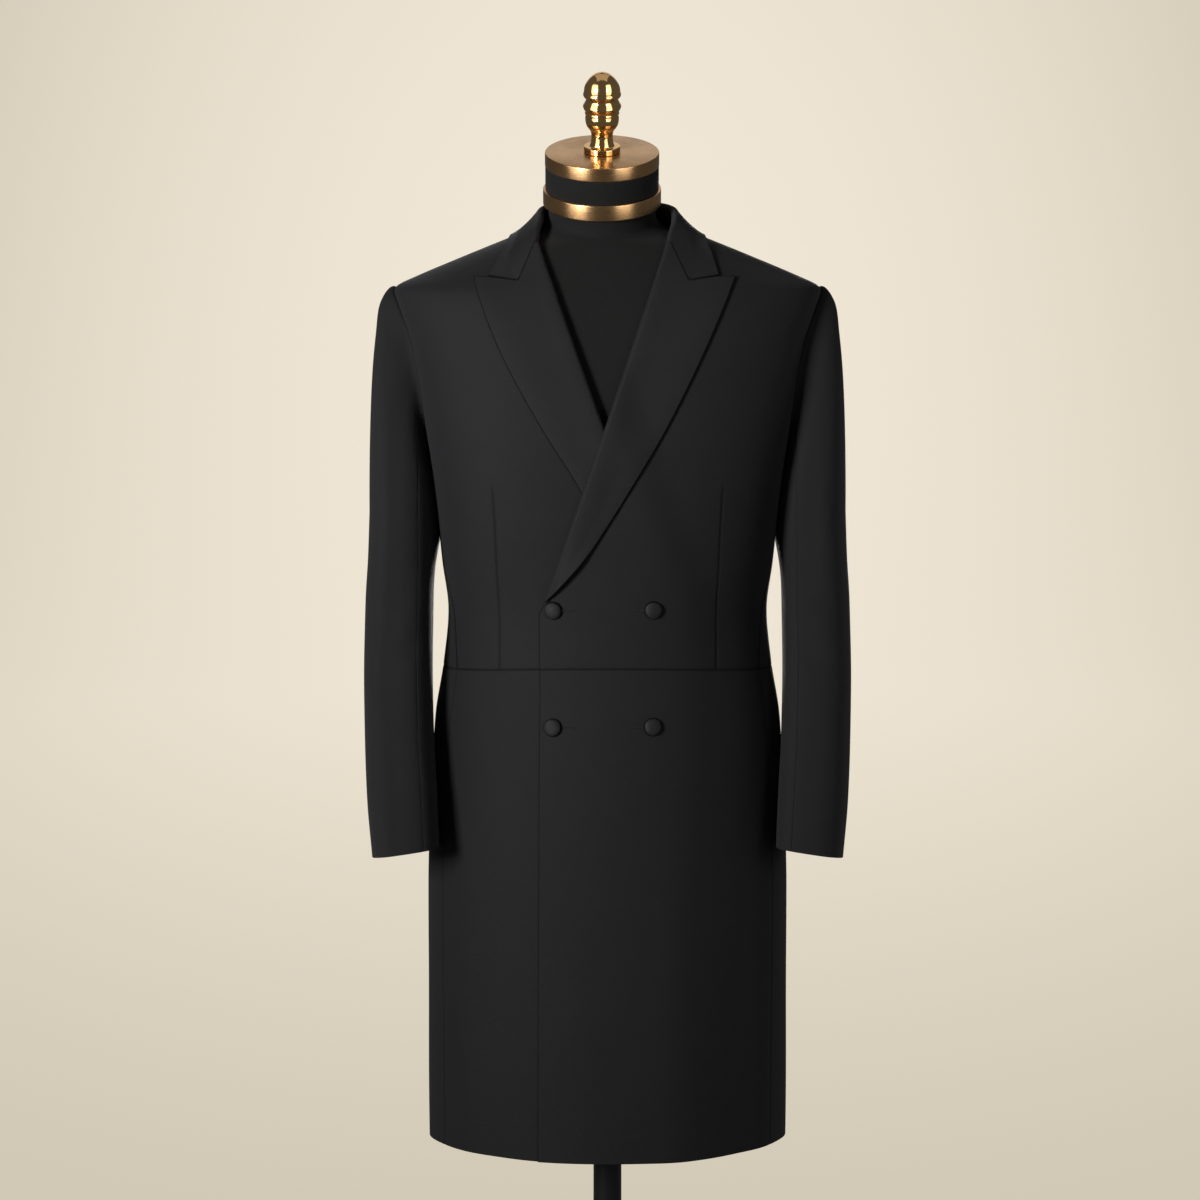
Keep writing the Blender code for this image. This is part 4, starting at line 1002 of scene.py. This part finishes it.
def sleeveRing(z, psi):
    outerX, innerX = sleeveCurve["outerX"](z), sleeveCurve["innerX"](z)
    middleY, halfDepth = sleeveCurve["middleY"](z), sleeveCurve["halfDepth"](z)
    # the side towards the body is a little squarer than an ellipse
    power = 2 / (2 + sleeveCut["innerFullness"] * (1 - np.cos(psi)) / 2)
    x = (outerX + innerX) / 2 + (outerX - innerX) / 2 * squarer(np.cos(psi), power)
    y = middleY - halfDepth * squarer(np.sin(psi), power)
    topZ, cuffZ = sleeveCut["height"][0], sleeveCut["height"][-1]
    slant = ease((topZ - z) / (topZ - cuffZ))
    slope = sleeveCut["cuffSideSlope"] * (x - (outerX + innerX) / 2) + sleeveCut["cuffPitch"] * (y - middleY)
    return np.stack([x, y, z - slope * slant], axis=-1)


def sleeveSurface():
    s = sleeveCut
    seamPsi = np.radians(s["hindSeam"]), np.radians(s["foreSeam"]), np.radians(s["hindSeam"] + 360)
    top = np.linspace(seamPsi[0], seamPsi[1], s["topColumns"])
    under = np.linspace(seamPsi[1], seamPsi[2], s["underColumns"])
    psi = np.concatenate([top, under[1:]])
    armTurn, armZ = armhole(psi)
    middleTurn = armholeCut["turn"] + armholeCut["sag"] / 2
    shrink = 1 - s["armholeGap"] / armholeCut["halfHeight"]
    armTurn = middleTurn + (armTurn - middleTurn) * shrink
    armZ = armholeCut["middleZ"] + (armZ - armholeCut["middleZ"]) * shrink
    start, normal = onBody(armTurn, armZ, -cut["cloth"]), bodyNormal(armTurn, armZ)
    topZ, cuffZ = s["height"][0], s["height"][-1]
    end = sleeveRing(np.full_like(psi, topZ), psi)
    high, low = s["headReach"], s["underarmReach"]
    reach = (high + low) / 2 + (high - low) / 2 * np.cos(psi)
    drop = (start - end)[:, 2:]
    # before and behind the arm the sleeve leaves the seam along the coat's face
    # above and below the arm it leaves straight out
    step = np.sign(np.sin(psi)) * 1e-3
    alongFace = unit(bodyPoint(armTurn + step, armZ) - bodyPoint(armTurn - step, armZ) + (1e-9, 0, 0))
    follow = s["followBody"] * np.abs(np.sin(psi))[:, None] ** 2
    leaving = unit(normal * (1 - follow) + alongFace * follow)
    first = start + leaving * (reach + cut["cloth"])[:, None]
    second = end + (0, 0, s["headPull"]) * drop
    rows = []
    for t in np.concatenate([s["headShares"], np.linspace(s["headFrom"], 1, s["headRows"])]):
        near = start * (1 - t) ** 3 + 3 * first * t * (1 - t) ** 2
        rows.append(near + 3 * second * t**2 * (1 - t) + end * t**3)
    down = np.concatenate([np.linspace(0, s["armTo"], s["armRows"])[1:], s["cuffShares"]])
    for z in topZ + (cuffZ - topZ) * down:
        rows.append(sleeveRing(np.full_like(psi, z), psi))
    outer = np.stack(rows)
    wrapped = np.concatenate([outer[:, -2:-1], outer, outer[:, 1:2]], axis=1)
    around, along = np.gradient(wrapped, axis=1)[:, 1:-1], np.gradient(outer, axis=0)
    normals = unit(np.cross(around, along))
    out = np.zeros(outer.shape[:2])
    for fold in sleeveFolds.values():
        away = turnFrom(psi, fold["psi"])
        level = fold["z"] + fold["slant"] * away / radians(60)
        out += fold["depth"] * bump(away, radians(fold["spread"])) * bump(outer[..., 2] - level, fold["tall"])
    return psi, outer + normals * out[..., None], normals, len(top)


def sleevePieces():
    psi, outer, normals, split = sleeveSurface()
    inner = outer - normals * cut["cloth"]
    fromArmhole = arcLengths(outer, 0)
    dip = sleeveCut["headSeamDip"] * bump(fromArmhole, cut["seamDipWidth"])
    # painted shade along the armhole seam
    shade = bump(fromArmhole, cut["armholeShadeWidth"])
    for kind, columns in (("Top", slice(0, split)), ("Under", slice(split - 1, None))):
        out, within = outer[:, columns], inner[:, columns]
        across = arcLengths(out, 1)
        seam = bump(across, cut["seamDipWidth"]) + bump(across[:, -1:] - across, cut["seamDipWidth"])
        sunk = np.maximum(sleeveCut["seamDip"] * seam, dip[:, columns])
        out = out - normals[:, columns] * sunk[..., None]
        faces = []
        for grid, setBack in ((out, cut["seamGap"] / 2), (within, -cut["seamLap"])):
            grid = grid.copy()
            grid[:, 0] += unit(grid[:, 1] - grid[:, 0]) * setBack
            grid[:, -1] += unit(grid[:, -2] - grid[:, -1]) * setBack
            faces.append(grid)
        uv = np.stack([arcLengths(faces[0], 1), arcLengths(faces[0], 0)], axis=-1)
        node = "sleeve_" + kind.lower()
        for side, word in ((1, "left"), (-1, "right")):
            flip = np.array([side, 1, 1])
            clothWall(f"{word}{kind}Sleeve", f"{node}_{word}", faces[0] * flip, faces[1] * flip, uv,
                      shade[:, columns], held="hung", restsOn=(f"front_{word}", f"back_{word}"))


sleevePieces()
print("sleeves set in")


def ringPoints(profile, steps):
    # a level ring of points for each radius and height
    angles = np.arange(steps) / steps * 2 * pi
    return [(r * cos(a), r * sin(a), h) for r, h in profile for a in angles]


def ringFaces(rings, steps):
    # four-sided faces between each closed ring of points and the next
    faces = []
    for k in range(rings - 1):
        for i in range(steps):
            j = (i + 1) % steps
            faces.append((k * steps + i, k * steps + j, (k + 1) * steps + j, (k + 1) * steps + i))
    return faces


def turnedPiece(name, node, profile, finish, slot, steps=96, place=(0, 0, 0), tilt=0.0):
    # profile holds radii and heights, bottom to top
    rings = [p for p in profile if p[0] > 0]
    verts, faces = ringPoints(rings, steps), ringFaces(len(rings), steps)
    low, high = len(verts), len(verts) + 1
    last = len(verts) - steps
    verts += [(0, 0, profile[0][1]), (0, 0, profile[-1][1])]
    for i in range(steps):
        j = (i + 1) % steps
        faces += [(j, i, low), (last + i, last + j, high)]
    mesh = bpy.data.meshes.new(name)
    mesh.from_pydata(verts, [], faces)
    mesh.materials.append(finish)
    mesh.shade_smooth()
    obj = bpy.data.objects.new(name, mesh)
    obj.location = place
    obj.rotation_euler = (tilt, 0, 0)
    return showPiece(obj, node, slot=slot)


def splineProfile(values, fine):
    # a smooth profile through radii and heights, with more points than it is given
    radius, height = values["radius"], values["height"]
    t = np.concatenate([[0], np.cumsum(np.hypot(np.diff(radius), np.diff(height)))])
    places = np.linspace(0, t[-1], len(radius) * fine)
    return list(zip(smoothCurve(t, radius)(places).tolist(), smoothCurve(t, height)(places).tolist()))


buttonValues = {
    "places": {
        "button_upper_edge": (-0.0587, 1.0922, 1),
        "button_upper_chest": (0.0485, 1.0928, -1),
        "button_lower_edge": (-0.0597, 0.9630, 1),
        "button_lower_chest": (0.0485, 0.9640, -1),
    },
    "radius": (0, 0.0086, 0.0098, 0.0101, 0.0099, 0.0095, 0.0090, 0.0080, 0.0062, 0.0040, 0.0020, 0),
    "height": (0, 0.0001, 0.0004, 0.0011, 0.0019, 0.0028, 0.0036, 0.0044, 0.0051, 0.0056, 0.0058, 0.0059),
    "shadeFrom": 0.0089,
    "shadeTo": 0.0096,
    "holeLength": 0.0215,
    "holeSetBack": 0.0010,
    "holeHalf": 0.0006,
    "threadRadius": 0.00055,
    "threadLift": 0.0005,
    "eyeStretch": (1.5, 1.3),
    "eyeSteps": 8,
    "seat": 0.0004,
    "seatStep": 0.004,
}
buttonWool = woolCloth | dict(napScale=1500, roughness=0.58, napRoughness=(0.46, 0.58), specular=0.24)
threadValues = {
    "colour": (0.024, 0.024, 0.027),
    "roughness": 0.5,
    "twistTurn": 35,
    "twistScale": 2600,
    "twistHeight": 0.00012,
    "twistTones": ((0.014, 0.014, 0.016), (0.034, 0.034, 0.038)),
}


def frontFace(x, z, out=0.0):
    # a place on the outer face of the left front
    lift = overLift(np.array(x), np.array(z)) + out
    return Vector(onBody(turnAt(x, z), np.array(z), lift))


def frontFrame(x, z):
    step = buttonValues["seatStep"]
    across = frontFace(x + step, z) - frontFace(x - step, z)
    upward = frontFace(x, z + step) - frontFace(x, z - step)
    return frontFace(x, z), across.cross(upward).normalized()


def makeThread(name, values):
    finish, shader, w, place = newFinish(name, values)
    twist = w.bands(w.turned(place, values["twistTurn"]), values["twistScale"])
    w.join(w.relief(twist, values["twistHeight"]), shader.inputs["Normal"])
    w.join(w.ramp(twist, *values["twistTones"]), shader.inputs["Base Color"])
    return finish


buttonCloth = makeWool("buttonCloth", buttonWool, 1.08)
threadFinish = makeThread("buttonholeThread", threadValues)


def buttonhole(name, x, z, way):
    # a worked hole that starts under the button and runs towards the middle of the coat
    length, half = buttonValues["holeLength"], buttonValues["holeHalf"]
    (wide, tall), steps = buttonValues["eyeStretch"], buttonValues["eyeSteps"]
    outline = [(0, half), (length - half, half)]
    for k in range(1, steps):
        a = pi / 2 - pi * k / steps
        outline.append((length - half + half * wide * cos(a), half * tall * sin(a)))
    outline += [(length - half, -half), (0, -half)]
    curve = bpy.data.curves.new(name, "CURVE")
    curve.dimensions = "3D"
    curve.bevel_depth = buttonValues["threadRadius"]
    curve.bevel_resolution = 3
    spline = curve.splines.new("POLY")
    points = []
    for k in range(len(outline) - 1):
        for s in np.linspace(0, 1, 6, endpoint=False):
            points.append(np.array(outline[k]) * (1 - s) + np.array(outline[k + 1]) * s)
    spline.points.add(len(points) - 1)
    for point, (along, up) in zip(spline.points, points):
        px, pz = x + way * (along + buttonValues["holeSetBack"]), z + up
        point.co = (*frontFace(px, pz, buttonValues["threadLift"]), 1)
    curve.materials.append(threadFinish)
    obj = bpy.data.objects.new(name, curve)
    bpy.context.scene.collection.objects.link(obj)
    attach(obj, "root")


for node, (x, z, way) in buttonValues["places"].items():
    words = node.split("_")
    name = f"{words[1]}{words[2].title()}Button"
    place, normal = frontFrame(x, z)
    obj = turnedPiece(name, node, splineProfile(buttonValues, 4), buttonCloth, "button_cloth", 48)
    obj.location = place + normal * buttonValues["seat"]
    obj.rotation_euler = normal.to_track_quat("Z", "Y").to_euler()
    layer = obj.data.uv_layers.new(name="clothMetres")
    for corner in obj.data.loops:
        co = obj.data.vertices[corner.vertex_index].co
        layer.data[corner.index].uv = (co.x, co.y)
    # painted shade: a dark ring round the rim of the button
    darkness = obj.data.attributes.new("seamShade", "FLOAT", "POINT")
    shadeFrom, shadeTo = buttonValues["shadeFrom"], buttonValues["shadeTo"]
    for vertex, shade in zip(obj.data.vertices, darkness.data):
        shade.value = float(ease((vertex.co.xy.length - shadeFrom) / (shadeTo - shadeFrom)))
    buttonhole(f"{name}hole", x, z, way)
print("buttons covered")


formValues = {
    "levels": (0.870, 0.91, 0.96, 1.02, 1.08, 1.134, 1.19, 1.245, 1.30, 1.345, 1.38, 1.415,
               1.4405, 1.4485, 1.4565, 1.4702, 1.482, 1.494),
    "easeZ": (0.862, 0.960, 1.080, 1.200, 1.310, 1.380, 1.4405, 1.508),
    "ease": (0.018, 0.014, 0.008, 0.006, 0.005, 0.0042, 0.0032, 0.0032),
    "frontAndBackEase": 0.0036,
    "footZ": 0.862,
    "footShrink": 0.965,
    "rimShrink": 0.992,
    "rimRise": 0.0015,
    "columns": 96,
    "rows": 86,
    "neckRows": 15,
    "smoothFrom": 75,
    "smoothTimes": 30,
    "creaseAngle": 50,
    "neckTilt": radians(18.0),
    "neckCentre": (-0.0062, -0.004, 1.5420),
    "neckRadius": 0.0595,
    "bandRadius": 0.0630,
    "neckFlare": 0.0005,
    "neckRise": 0.0260,
    "ringRadius": 0.0656,
    "ringHalf": 0.0088,
    "capRadius": 0.0633,
    "capHalf": 0.0078,
    "capHeight": 0.0430,
    "poleRadius": 0.016,
}


jerseyCloth = {
    "colour": (0.008, 0.008, 0.008),
    "roughness": 0.8,
    "specular": 0.16,
    "ribScale": 900,
    "slubScale": 260,
    "slubTones": ((0.0066, 0.0066, 0.0068), (0.0098, 0.0097, 0.0098)),
    "sheen": 0.06,
}
brushedMetal = {"colour": (0.66, 0.40, 0.19), "roughness": 0.27, "metallic": 1.0, "specular": 0.5}
polishedMetal = {"colour": (0.98, 0.62, 0.27), "roughness": 0.09, "metallic": 1.0, "specular": 0.5}
paintedMetal = {"colour": (0.018, 0.018, 0.020), "roughness": 0.35, "metallic": 0.4, "specular": 0.5}


def makeJersey(name, values):
    finish, shader, w, place = newFinish(name, values)
    rib = w.bands(w.turned(place, 0), values["ribScale"], 0.8)
    slub = w.noise(w.turned(place, 0, (1, 1, 6)), values["slubScale"], 3)
    w.join(w.ramp(slub, *values["slubTones"], 0.3, 0.7), shader.inputs["Base Color"])
    shader.inputs["Sheen Weight"].default_value = values["sheen"]
    w.join(w.relief(rib, 0.0001, 0.5, w.relief(slub, 0.0003, 0.8)), shader.inputs["Normal"])
    return finish


def makeBrass(name, values, brushed):
    finish, shader, w, place = newFinish(name, values)
    colour, roughness = values["colour"], values["roughness"]
    darker = [c * 0.86 for c in colour]
    w.join(w.ramp(w.noise(place, 45, 3), darker, colour, 0.35, 0.65), shader.inputs["Base Color"])
    if brushed:
        # fine scratches that run round the turned piece
        scratch = w.noise(w.turned(place, 0, (1, 1, 60)), 90)
        w.join(w.range(scratch, roughness * 0.8, roughness * 1.25), shader.inputs["Roughness"])
        w.join(w.relief(scratch, 0.00006, 0.6), shader.inputs["Normal"])
        shader.inputs["Anisotropic"].default_value = 0.75
        shader.inputs["Anisotropic Rotation"].default_value = 0.25
        tangent = w.add("ShaderNodeTangent", direction_type="RADIAL", axis="Z")
        w.join(tangent.outputs[0], shader.inputs["Tangent"])
    else:
        haze = w.noise(place, 160, 4)
        w.join(w.range(haze, roughness * 0.7, roughness * 1.5), shader.inputs["Roughness"])
    return finish


def makePaint(name, values):
    finish, shader, w, place = newFinish(name, values)
    colour, roughness = values["colour"], values["roughness"]
    grain = w.noise(place, 900, 3)
    w.join(w.range(grain, roughness * 0.85, roughness * 1.15), shader.inputs["Roughness"])
    w.join(w.ramp(grain, [c * 0.9 for c in colour], colour), shader.inputs["Base Color"])
    w.join(w.relief(grain, 0.00003, 0.5), shader.inputs["Normal"])
    return finish


jersey = makeJersey("formJersey", jerseyCloth)
brushedBrass = makeBrass("brushedBrass", brushedMetal, True)
polishedBrass = makeBrass("polishedBrass", polishedMetal, False)
standPaint = makePaint("standPaint", paintedMetal)

neckAxis = Vector((0, -sin(formValues["neckTilt"]), cos(formValues["neckTilt"])))


def neckCircle(height, radius, turns):
    tilt = formValues["neckTilt"]
    centre = np.array(Vector(formValues["neckCentre"]) + neckAxis * height)
    ahead, side = np.array((0, -cos(tilt), -sin(tilt))), np.array((1, 0, 0))
    return centre + radius * (np.outer(np.sin(turns), side) + np.outer(np.cos(turns), ahead))


def makeTorso():
    f = formValues
    count = f["columns"]
    turns = np.linspace(0, 2 * pi, count, endpoint=False)
    slack = smoothCurve(f["easeZ"], f["ease"])
    last = len(f["levels"]) - 1
    levels = np.interp(np.linspace(0, last, f["rows"]), range(last + 1), f["levels"])
    rings = []
    for z in levels:
        inset = slack(z) + f["frontAndBackEase"] * np.abs(np.cos(turns))
        rings.append(onBody(turns, np.full(count, z), -inset))
    foot = rings[0] * (f["footShrink"], f["footShrink"], 1)
    foot[:, 2] = f["footZ"]
    rim = rings[0] * (f["rimShrink"], f["rimShrink"], 1)
    rim[:, 2] = f["footZ"] + f["rimRise"]
    top, first = rings[-1], neckCircle(-f["neckRise"], f["neckRadius"] + f["neckFlare"], turns)
    for w in np.linspace(0, 1, f["neckRows"])[1:-1]:
        flare = top * (1 - w) ** 3 + first * (1 - (1 - w) ** 3)
        flare[:, 2] = top[:, 2] * (1 - w) + first[:, 2] * w
        rings.append(flare)
    rings.append(first)
    for height in (-f["neckRise"] * 0.6, -f["ringHalf"] - 0.0015, -f["ringHalf"] - 0.0003):
        rings.append(neckCircle(height, f["neckRadius"], turns))
    rings = np.array([foot, rim, *rings])
    shoulder = slice(f["smoothFrom"], len(rings) - 4)
    for _ in range(f["smoothTimes"]):
        # the shoulder runs softly into the neck
        smooth = (rings[:-2] + 2 * rings[1:-1] + rings[2:]) / 4
        rings[shoulder] = smooth[shoulder.start - 1 : shoulder.stop - 1]
    verts, faces = rings.reshape(-1, 3).tolist(), ringFaces(len(rings), count)
    faces.append(tuple(range(count - 1, -1, -1)))
    faces.append(tuple(range(len(verts) - count, len(verts))))
    mesh = bpy.data.meshes.new("formBody")
    mesh.from_pydata(verts, [], faces)
    mesh.materials.append(jersey)
    mesh.shade_smooth()
    mesh.set_sharp_from_angle(angle=radians(f["creaseAngle"]))
    return showPiece(bpy.data.objects.new("formBody", mesh), "form_torso", slot="form_cloth")


makeTorso()
print("form body covered")

# the finial's radii and heights: foot ring, waist, vase, fillet, sharp bead, ring and knob
finialValues = {
    "stretch": 1.025,
    "radius": (0, 0.0200, 0.0203, 0.0203, 0.0198, 0.0188, 0.0146, 0.0136, 0.0129, 0.0122, 0.0119,
               0.0123, 0.0136, 0.0158, 0.0174, 0.0184, 0.0186, 0.0183, 0.0176, 0.0175, 0.0185, 0.0190,
               0.0189, 0.0183, 0.0186, 0.0201, 0.0210, 0.0211, 0.0209, 0.0196, 0.0183, 0.0177, 0.0179,
               0.0186, 0.0202, 0.0209, 0.0208, 0.0201, 0.0199, 0.0200, 0.0197, 0.0183, 0.0157, 0.0125,
               0.0090, 0.0050, 0),
    "height": (0, 0, 0.0004, 0.0056, 0.0064, 0.0067, 0.0069, 0.0076, 0.0095, 0.0135, 0.0185,
               0.0215, 0.0245, 0.0273, 0.0302, 0.0345, 0.0380, 0.0400, 0.0409, 0.0416, 0.0420, 0.0428,
               0.0436, 0.0442, 0.0450, 0.0478, 0.0502, 0.0510, 0.0516, 0.0540, 0.0562, 0.0582, 0.0593,
               0.0600, 0.0616, 0.0636, 0.0650, 0.0658, 0.0663, 0.0675, 0.0702, 0.0746, 0.0790, 0.0826,
               0.0854, 0.0872, 0.0880),
}


def disc(radius, low, high, edge):
    side = [(radius - edge * (1 - sin(a)), low + edge * (1 - cos(a))) for a in np.linspace(0, pi / 2, 5)]
    top = [(r, high - (h - low)) for r, h in side[::-1]]
    return [(0, low), (radius * 0.6, low), *side, *top, (radius * 0.6, high), (0, high)]


def neckPieces():
    f = formValues
    place, tilt, gap = f["neckCentre"], f["neckTilt"], cut["seamGap"]
    capLow, capTop = f["capHeight"] - f["capHalf"], f["capHeight"] + f["capHalf"]
    ring = disc(f["ringRadius"], -f["ringHalf"], f["ringHalf"], 0.0010)
    band = disc(f["bandRadius"], f["ringHalf"] + gap, capLow - gap, 0.0004)
    cap = disc(f["capRadius"], capLow, capTop, 0.0014)
    turnedPiece("lowerNeckRing", "form_neck_ring", ring, brushedBrass, "neck_brass", 128, place, tilt)
    turnedPiece("neckBandCloth", "form_neck_band", band, jersey, "form_cloth", 96, place, tilt)
    turnedPiece("upperNeckCap", "form_neck_cap", cap, brushedBrass, "neck_brass", 128, place, tilt)
    finial = splineProfile(finialValues, 5)
    finial = [(r, h * finialValues["stretch"] + capTop + gap) for r, h in finial]
    turnedPiece("turnedFinial", "form_finial", finial, polishedBrass, "finial_brass", 96, place, tilt)


neckPieces()

standValues = {
    "radius": (0, 0.1985, 0.2000, 0.2000, 0.1990, 0.1940, 0.1700, 0.1200, 0.0700, 0.0500, 0.0400, 0.0350,
               0.0310, 0.0280, 0.0262, 0.0255, 0),
    "height": (0, 0, 0.0015, 0.0080, 0.0105, 0.0125, 0.0137, 0.0150, 0.0166, 0.0180, 0.0200, 0.0230,
               0.0290, 0.0370, 0.0455, 0.0470, 0.0470),
}
poleFoot, poleTop = standValues["height"][-1] + cut["seamGap"], formValues["footZ"] - cut["seamGap"]
pole = disc(formValues["poleRadius"], poleFoot, poleTop, 0.0010)
turnedPiece("standBase", "form_base", splineProfile(standValues, 4), standPaint, "stand_metal", 128)
turnedPiece("standPole", "form_pole", pole, standPaint, "stand_metal", 64)
print("neck fittings and stand turned")


studio = {
    "cameraPlace": (-0.0085, -4.2, 1.55),
    "cameraPitch": 6.26,
    "lens": 112.6,
    "backdropRadius": 10.5,
    "backdropHeight": 7.0,
    "backdropBend": 3.0,
    # tones of the backdrop's painted glow: bright in its pool of light, darker away from it
    "nearTone": (0.880, 0.800, 0.672),
    "farTone": (0.635, 0.580, 0.465),
    "poolHeight": 0.9,
    "poolFall": 0.26,
    "asideFall": 0.37,
    "floorReach": 7.5,
    "floorPower": 1.3,
    "floorShare": 1.2,
    "floorBlend": (0.5, 1.3, 0.62),
    "worldTone": (1.0, 0.965, 0.90),
    "worldStrength": 0.09,
}
backdropPaper = {"colour": (0.80, 0.75, 0.66), "roughness": 0.9, "specular": 0.1}
neckTarget = (0, 0, 1.62)
# each light: its place, what it faces, size, power, tone, the pieces that take it and spread in degrees
lights = {
    "keyLight": ((-2.2, -2.7, 1.75), (-0.05, 0, 1.72), (0.9, 1.1), 24.5, (1.0, 0.98, 0.96), "", 74),
    "fillLight": ((2.2, -3.4, 2.0), (0, 0, 1.1), (0.9, 1.6), 17, (0.96, 0.98, 1.0), "", 180),
    "backLight": ((0.3, 3.7, 1.35), (0, 0, 1.0), (1.6, 1.8), 70, (1.0, 0.98, 0.96), "dark", 180),
    "rightBackLight": ((3.3, 1.0, 1.2), (0, 0, 1.0), (1.2, 1.8), 7, (0.97, 0.98, 1.0), "dark", 180),
    "leftCard": ((-2.1, -1.8, 1.8), neckTarget, (2.0, 3.2), 42, (1.0, 0.97, 0.93), "brass", 180),
    "rightCard": ((1.9, -2.0, 1.8), neckTarget, (1.6, 3.2), 33, (1.0, 0.97, 0.93), "brass", 180),
    "topCard": ((0, 0, 4.2), neckTarget, (3.2, 3.2), 11, (1.0, 0.95, 0.88), "brass", 180),
    "backCard": ((0, 2.4, 3.0), neckTarget, (2.6, 1.8), 8, (1.0, 0.95, 0.88), "brass", 180),
}


def makeBackdrop():
    s = studio
    bend, flat = s["backdropBend"], s["backdropRadius"] - s["backdropBend"]
    profile = [(0.0001, 0.0), (0.6, 0.0), (1.4, 0.0), (3.0, 0.0), (6.0, 0.0), (flat, 0.0)]
    for a in np.linspace(0, pi / 2, 13)[1:]:
        profile.append((flat + bend * sin(a), bend * (1 - cos(a))))
    profile.append((s["backdropRadius"], s["backdropHeight"]))
    mesh = bpy.data.meshes.new("studioBackdrop")
    mesh.from_pydata(ringPoints(profile, 96), [], ringFaces(len(profile), 96))
    mesh.shade_smooth()
    obj = bpy.data.objects.new("studioBackdrop", mesh)
    obj.location = (0, 0, -0.0005)
    bpy.context.scene.collection.objects.link(obj)
    finish, shader, w, place = newFinish("studioPaper", backdropPaper)
    split = w.add("ShaderNodeSeparateXYZ")
    w.join(place, split.inputs[0])
    x, y, z = split.outputs
    reach = w.math("SQRT", w.math("ADD", w.math("POWER", x, 2.0), w.math("POWER", y, 2.0)))
    # on the wall a painted pool of light glows brightest at the height of the coat's chest, and the glow falls
    # off from it and to the sides
    fromPool = w.math("MULTIPLY", w.math("SUBTRACT", z, s["poolHeight"]), s["poolFall"])
    aside = w.math("MULTIPLY", x, s["asideFall"])
    pool = w.math("ADD", w.math("MULTIPLY", fromPool, fromPool), w.math("MULTIPLY", aside, aside))
    # the floor's painted glow also darkens towards the stand
    away = w.math("DIVIDE", w.math("MINIMUM", reach, s["floorReach"]), s["floorReach"])
    nearness = w.math("POWER", w.math("SUBTRACT", 1.0, away), s["floorPower"])
    fromLight = w.math("ADD", pool, w.math("MULTIPLY", nearness, s["floorShare"]))
    glow = w.add("ShaderNodeEmission")
    w.join(w.ramp(fromLight, s["nearTone"], s["farTone"]), glow.inputs["Color"])
    # near the stand the paper partly takes the light, and further out it only glows
    mix = w.add("ShaderNodeMixShader")
    blend = w.add("ShaderNodeMapRange", interpolation_type="SMOOTHSTEP")
    w.join(reach, blend.inputs["Value"])
    for name, value in zip(("From Min", "From Max", "To Min"), s["floorBlend"]):
        blend.inputs[name].default_value = value
    for k, source in enumerate((blend.outputs["Result"], shader.outputs[0], glow.outputs[0])):
        w.join(source, mix.inputs[k])
    w.join(mix.outputs[0], finish.node_tree.nodes["Material Output"].inputs["Surface"])
    mesh.materials.append(finish)
    obj.visible_diffuse = False
    obj.visible_glossy = False
    obj.visible_shadow = False
    obj.visible_transmission = False


def softLight(name, place, target, size, power, tone, onto, spread):
    light = bpy.data.lights.new(name, "AREA")
    light.shape = "RECTANGLE"
    light.size, light.size_y = size
    light.energy = power
    light.spread = radians(spread)
    light.color = tone
    obj = bpy.data.objects.new(name, light)
    obj.location = place
    obj.rotation_euler = (Vector(place) - Vector(target)).to_track_quat("Z", "Y").to_euler()
    bpy.context.scene.collection.objects.link(obj)
    obj.visible_camera = False
    if onto:
        obj.light_linking.receiver_collection = receivers[onto]
    # a card for the brass only shows as a reflection in it
    obj.visible_diffuse = onto != "brass"


makeBackdrop()
brassNames = ("lowerNeckRing", "upperNeckCap", "turnedFinial")
receivers = {kind: bpy.data.collections.new(f"{kind}Pieces") for kind in ("brass", "dark")}
for obj in bpy.context.scene.objects:
    if obj.type in ("MESH", "CURVE") and obj.name != "studioBackdrop":
        receivers["brass" if obj.name in brassNames else "dark"].objects.link(obj)
for name, row in lights.items():
    softLight(name, *row)

world = bpy.data.worlds.new("studioAir")
world.use_nodes = True
bpy.context.scene.world = world
background = world.node_tree.nodes["Background"]
background.inputs["Color"].default_value = (*studio["worldTone"], 1)
background.inputs["Strength"].default_value = studio["worldStrength"]

camera = bpy.data.cameras.new("frontCamera")
camera.lens = studio["lens"]
camera.sensor_width = 36
cameraObj = bpy.data.objects.new("frontCamera", camera)
cameraObj.location = studio["cameraPlace"]
cameraObj.rotation_euler = (radians(90 - studio["cameraPitch"]), 0, 0)
bpy.context.scene.collection.objects.link(cameraObj)
bpy.context.scene.camera = cameraObj
bpy.context.scene.view_settings.view_transform = "Standard"
print("studio lit")
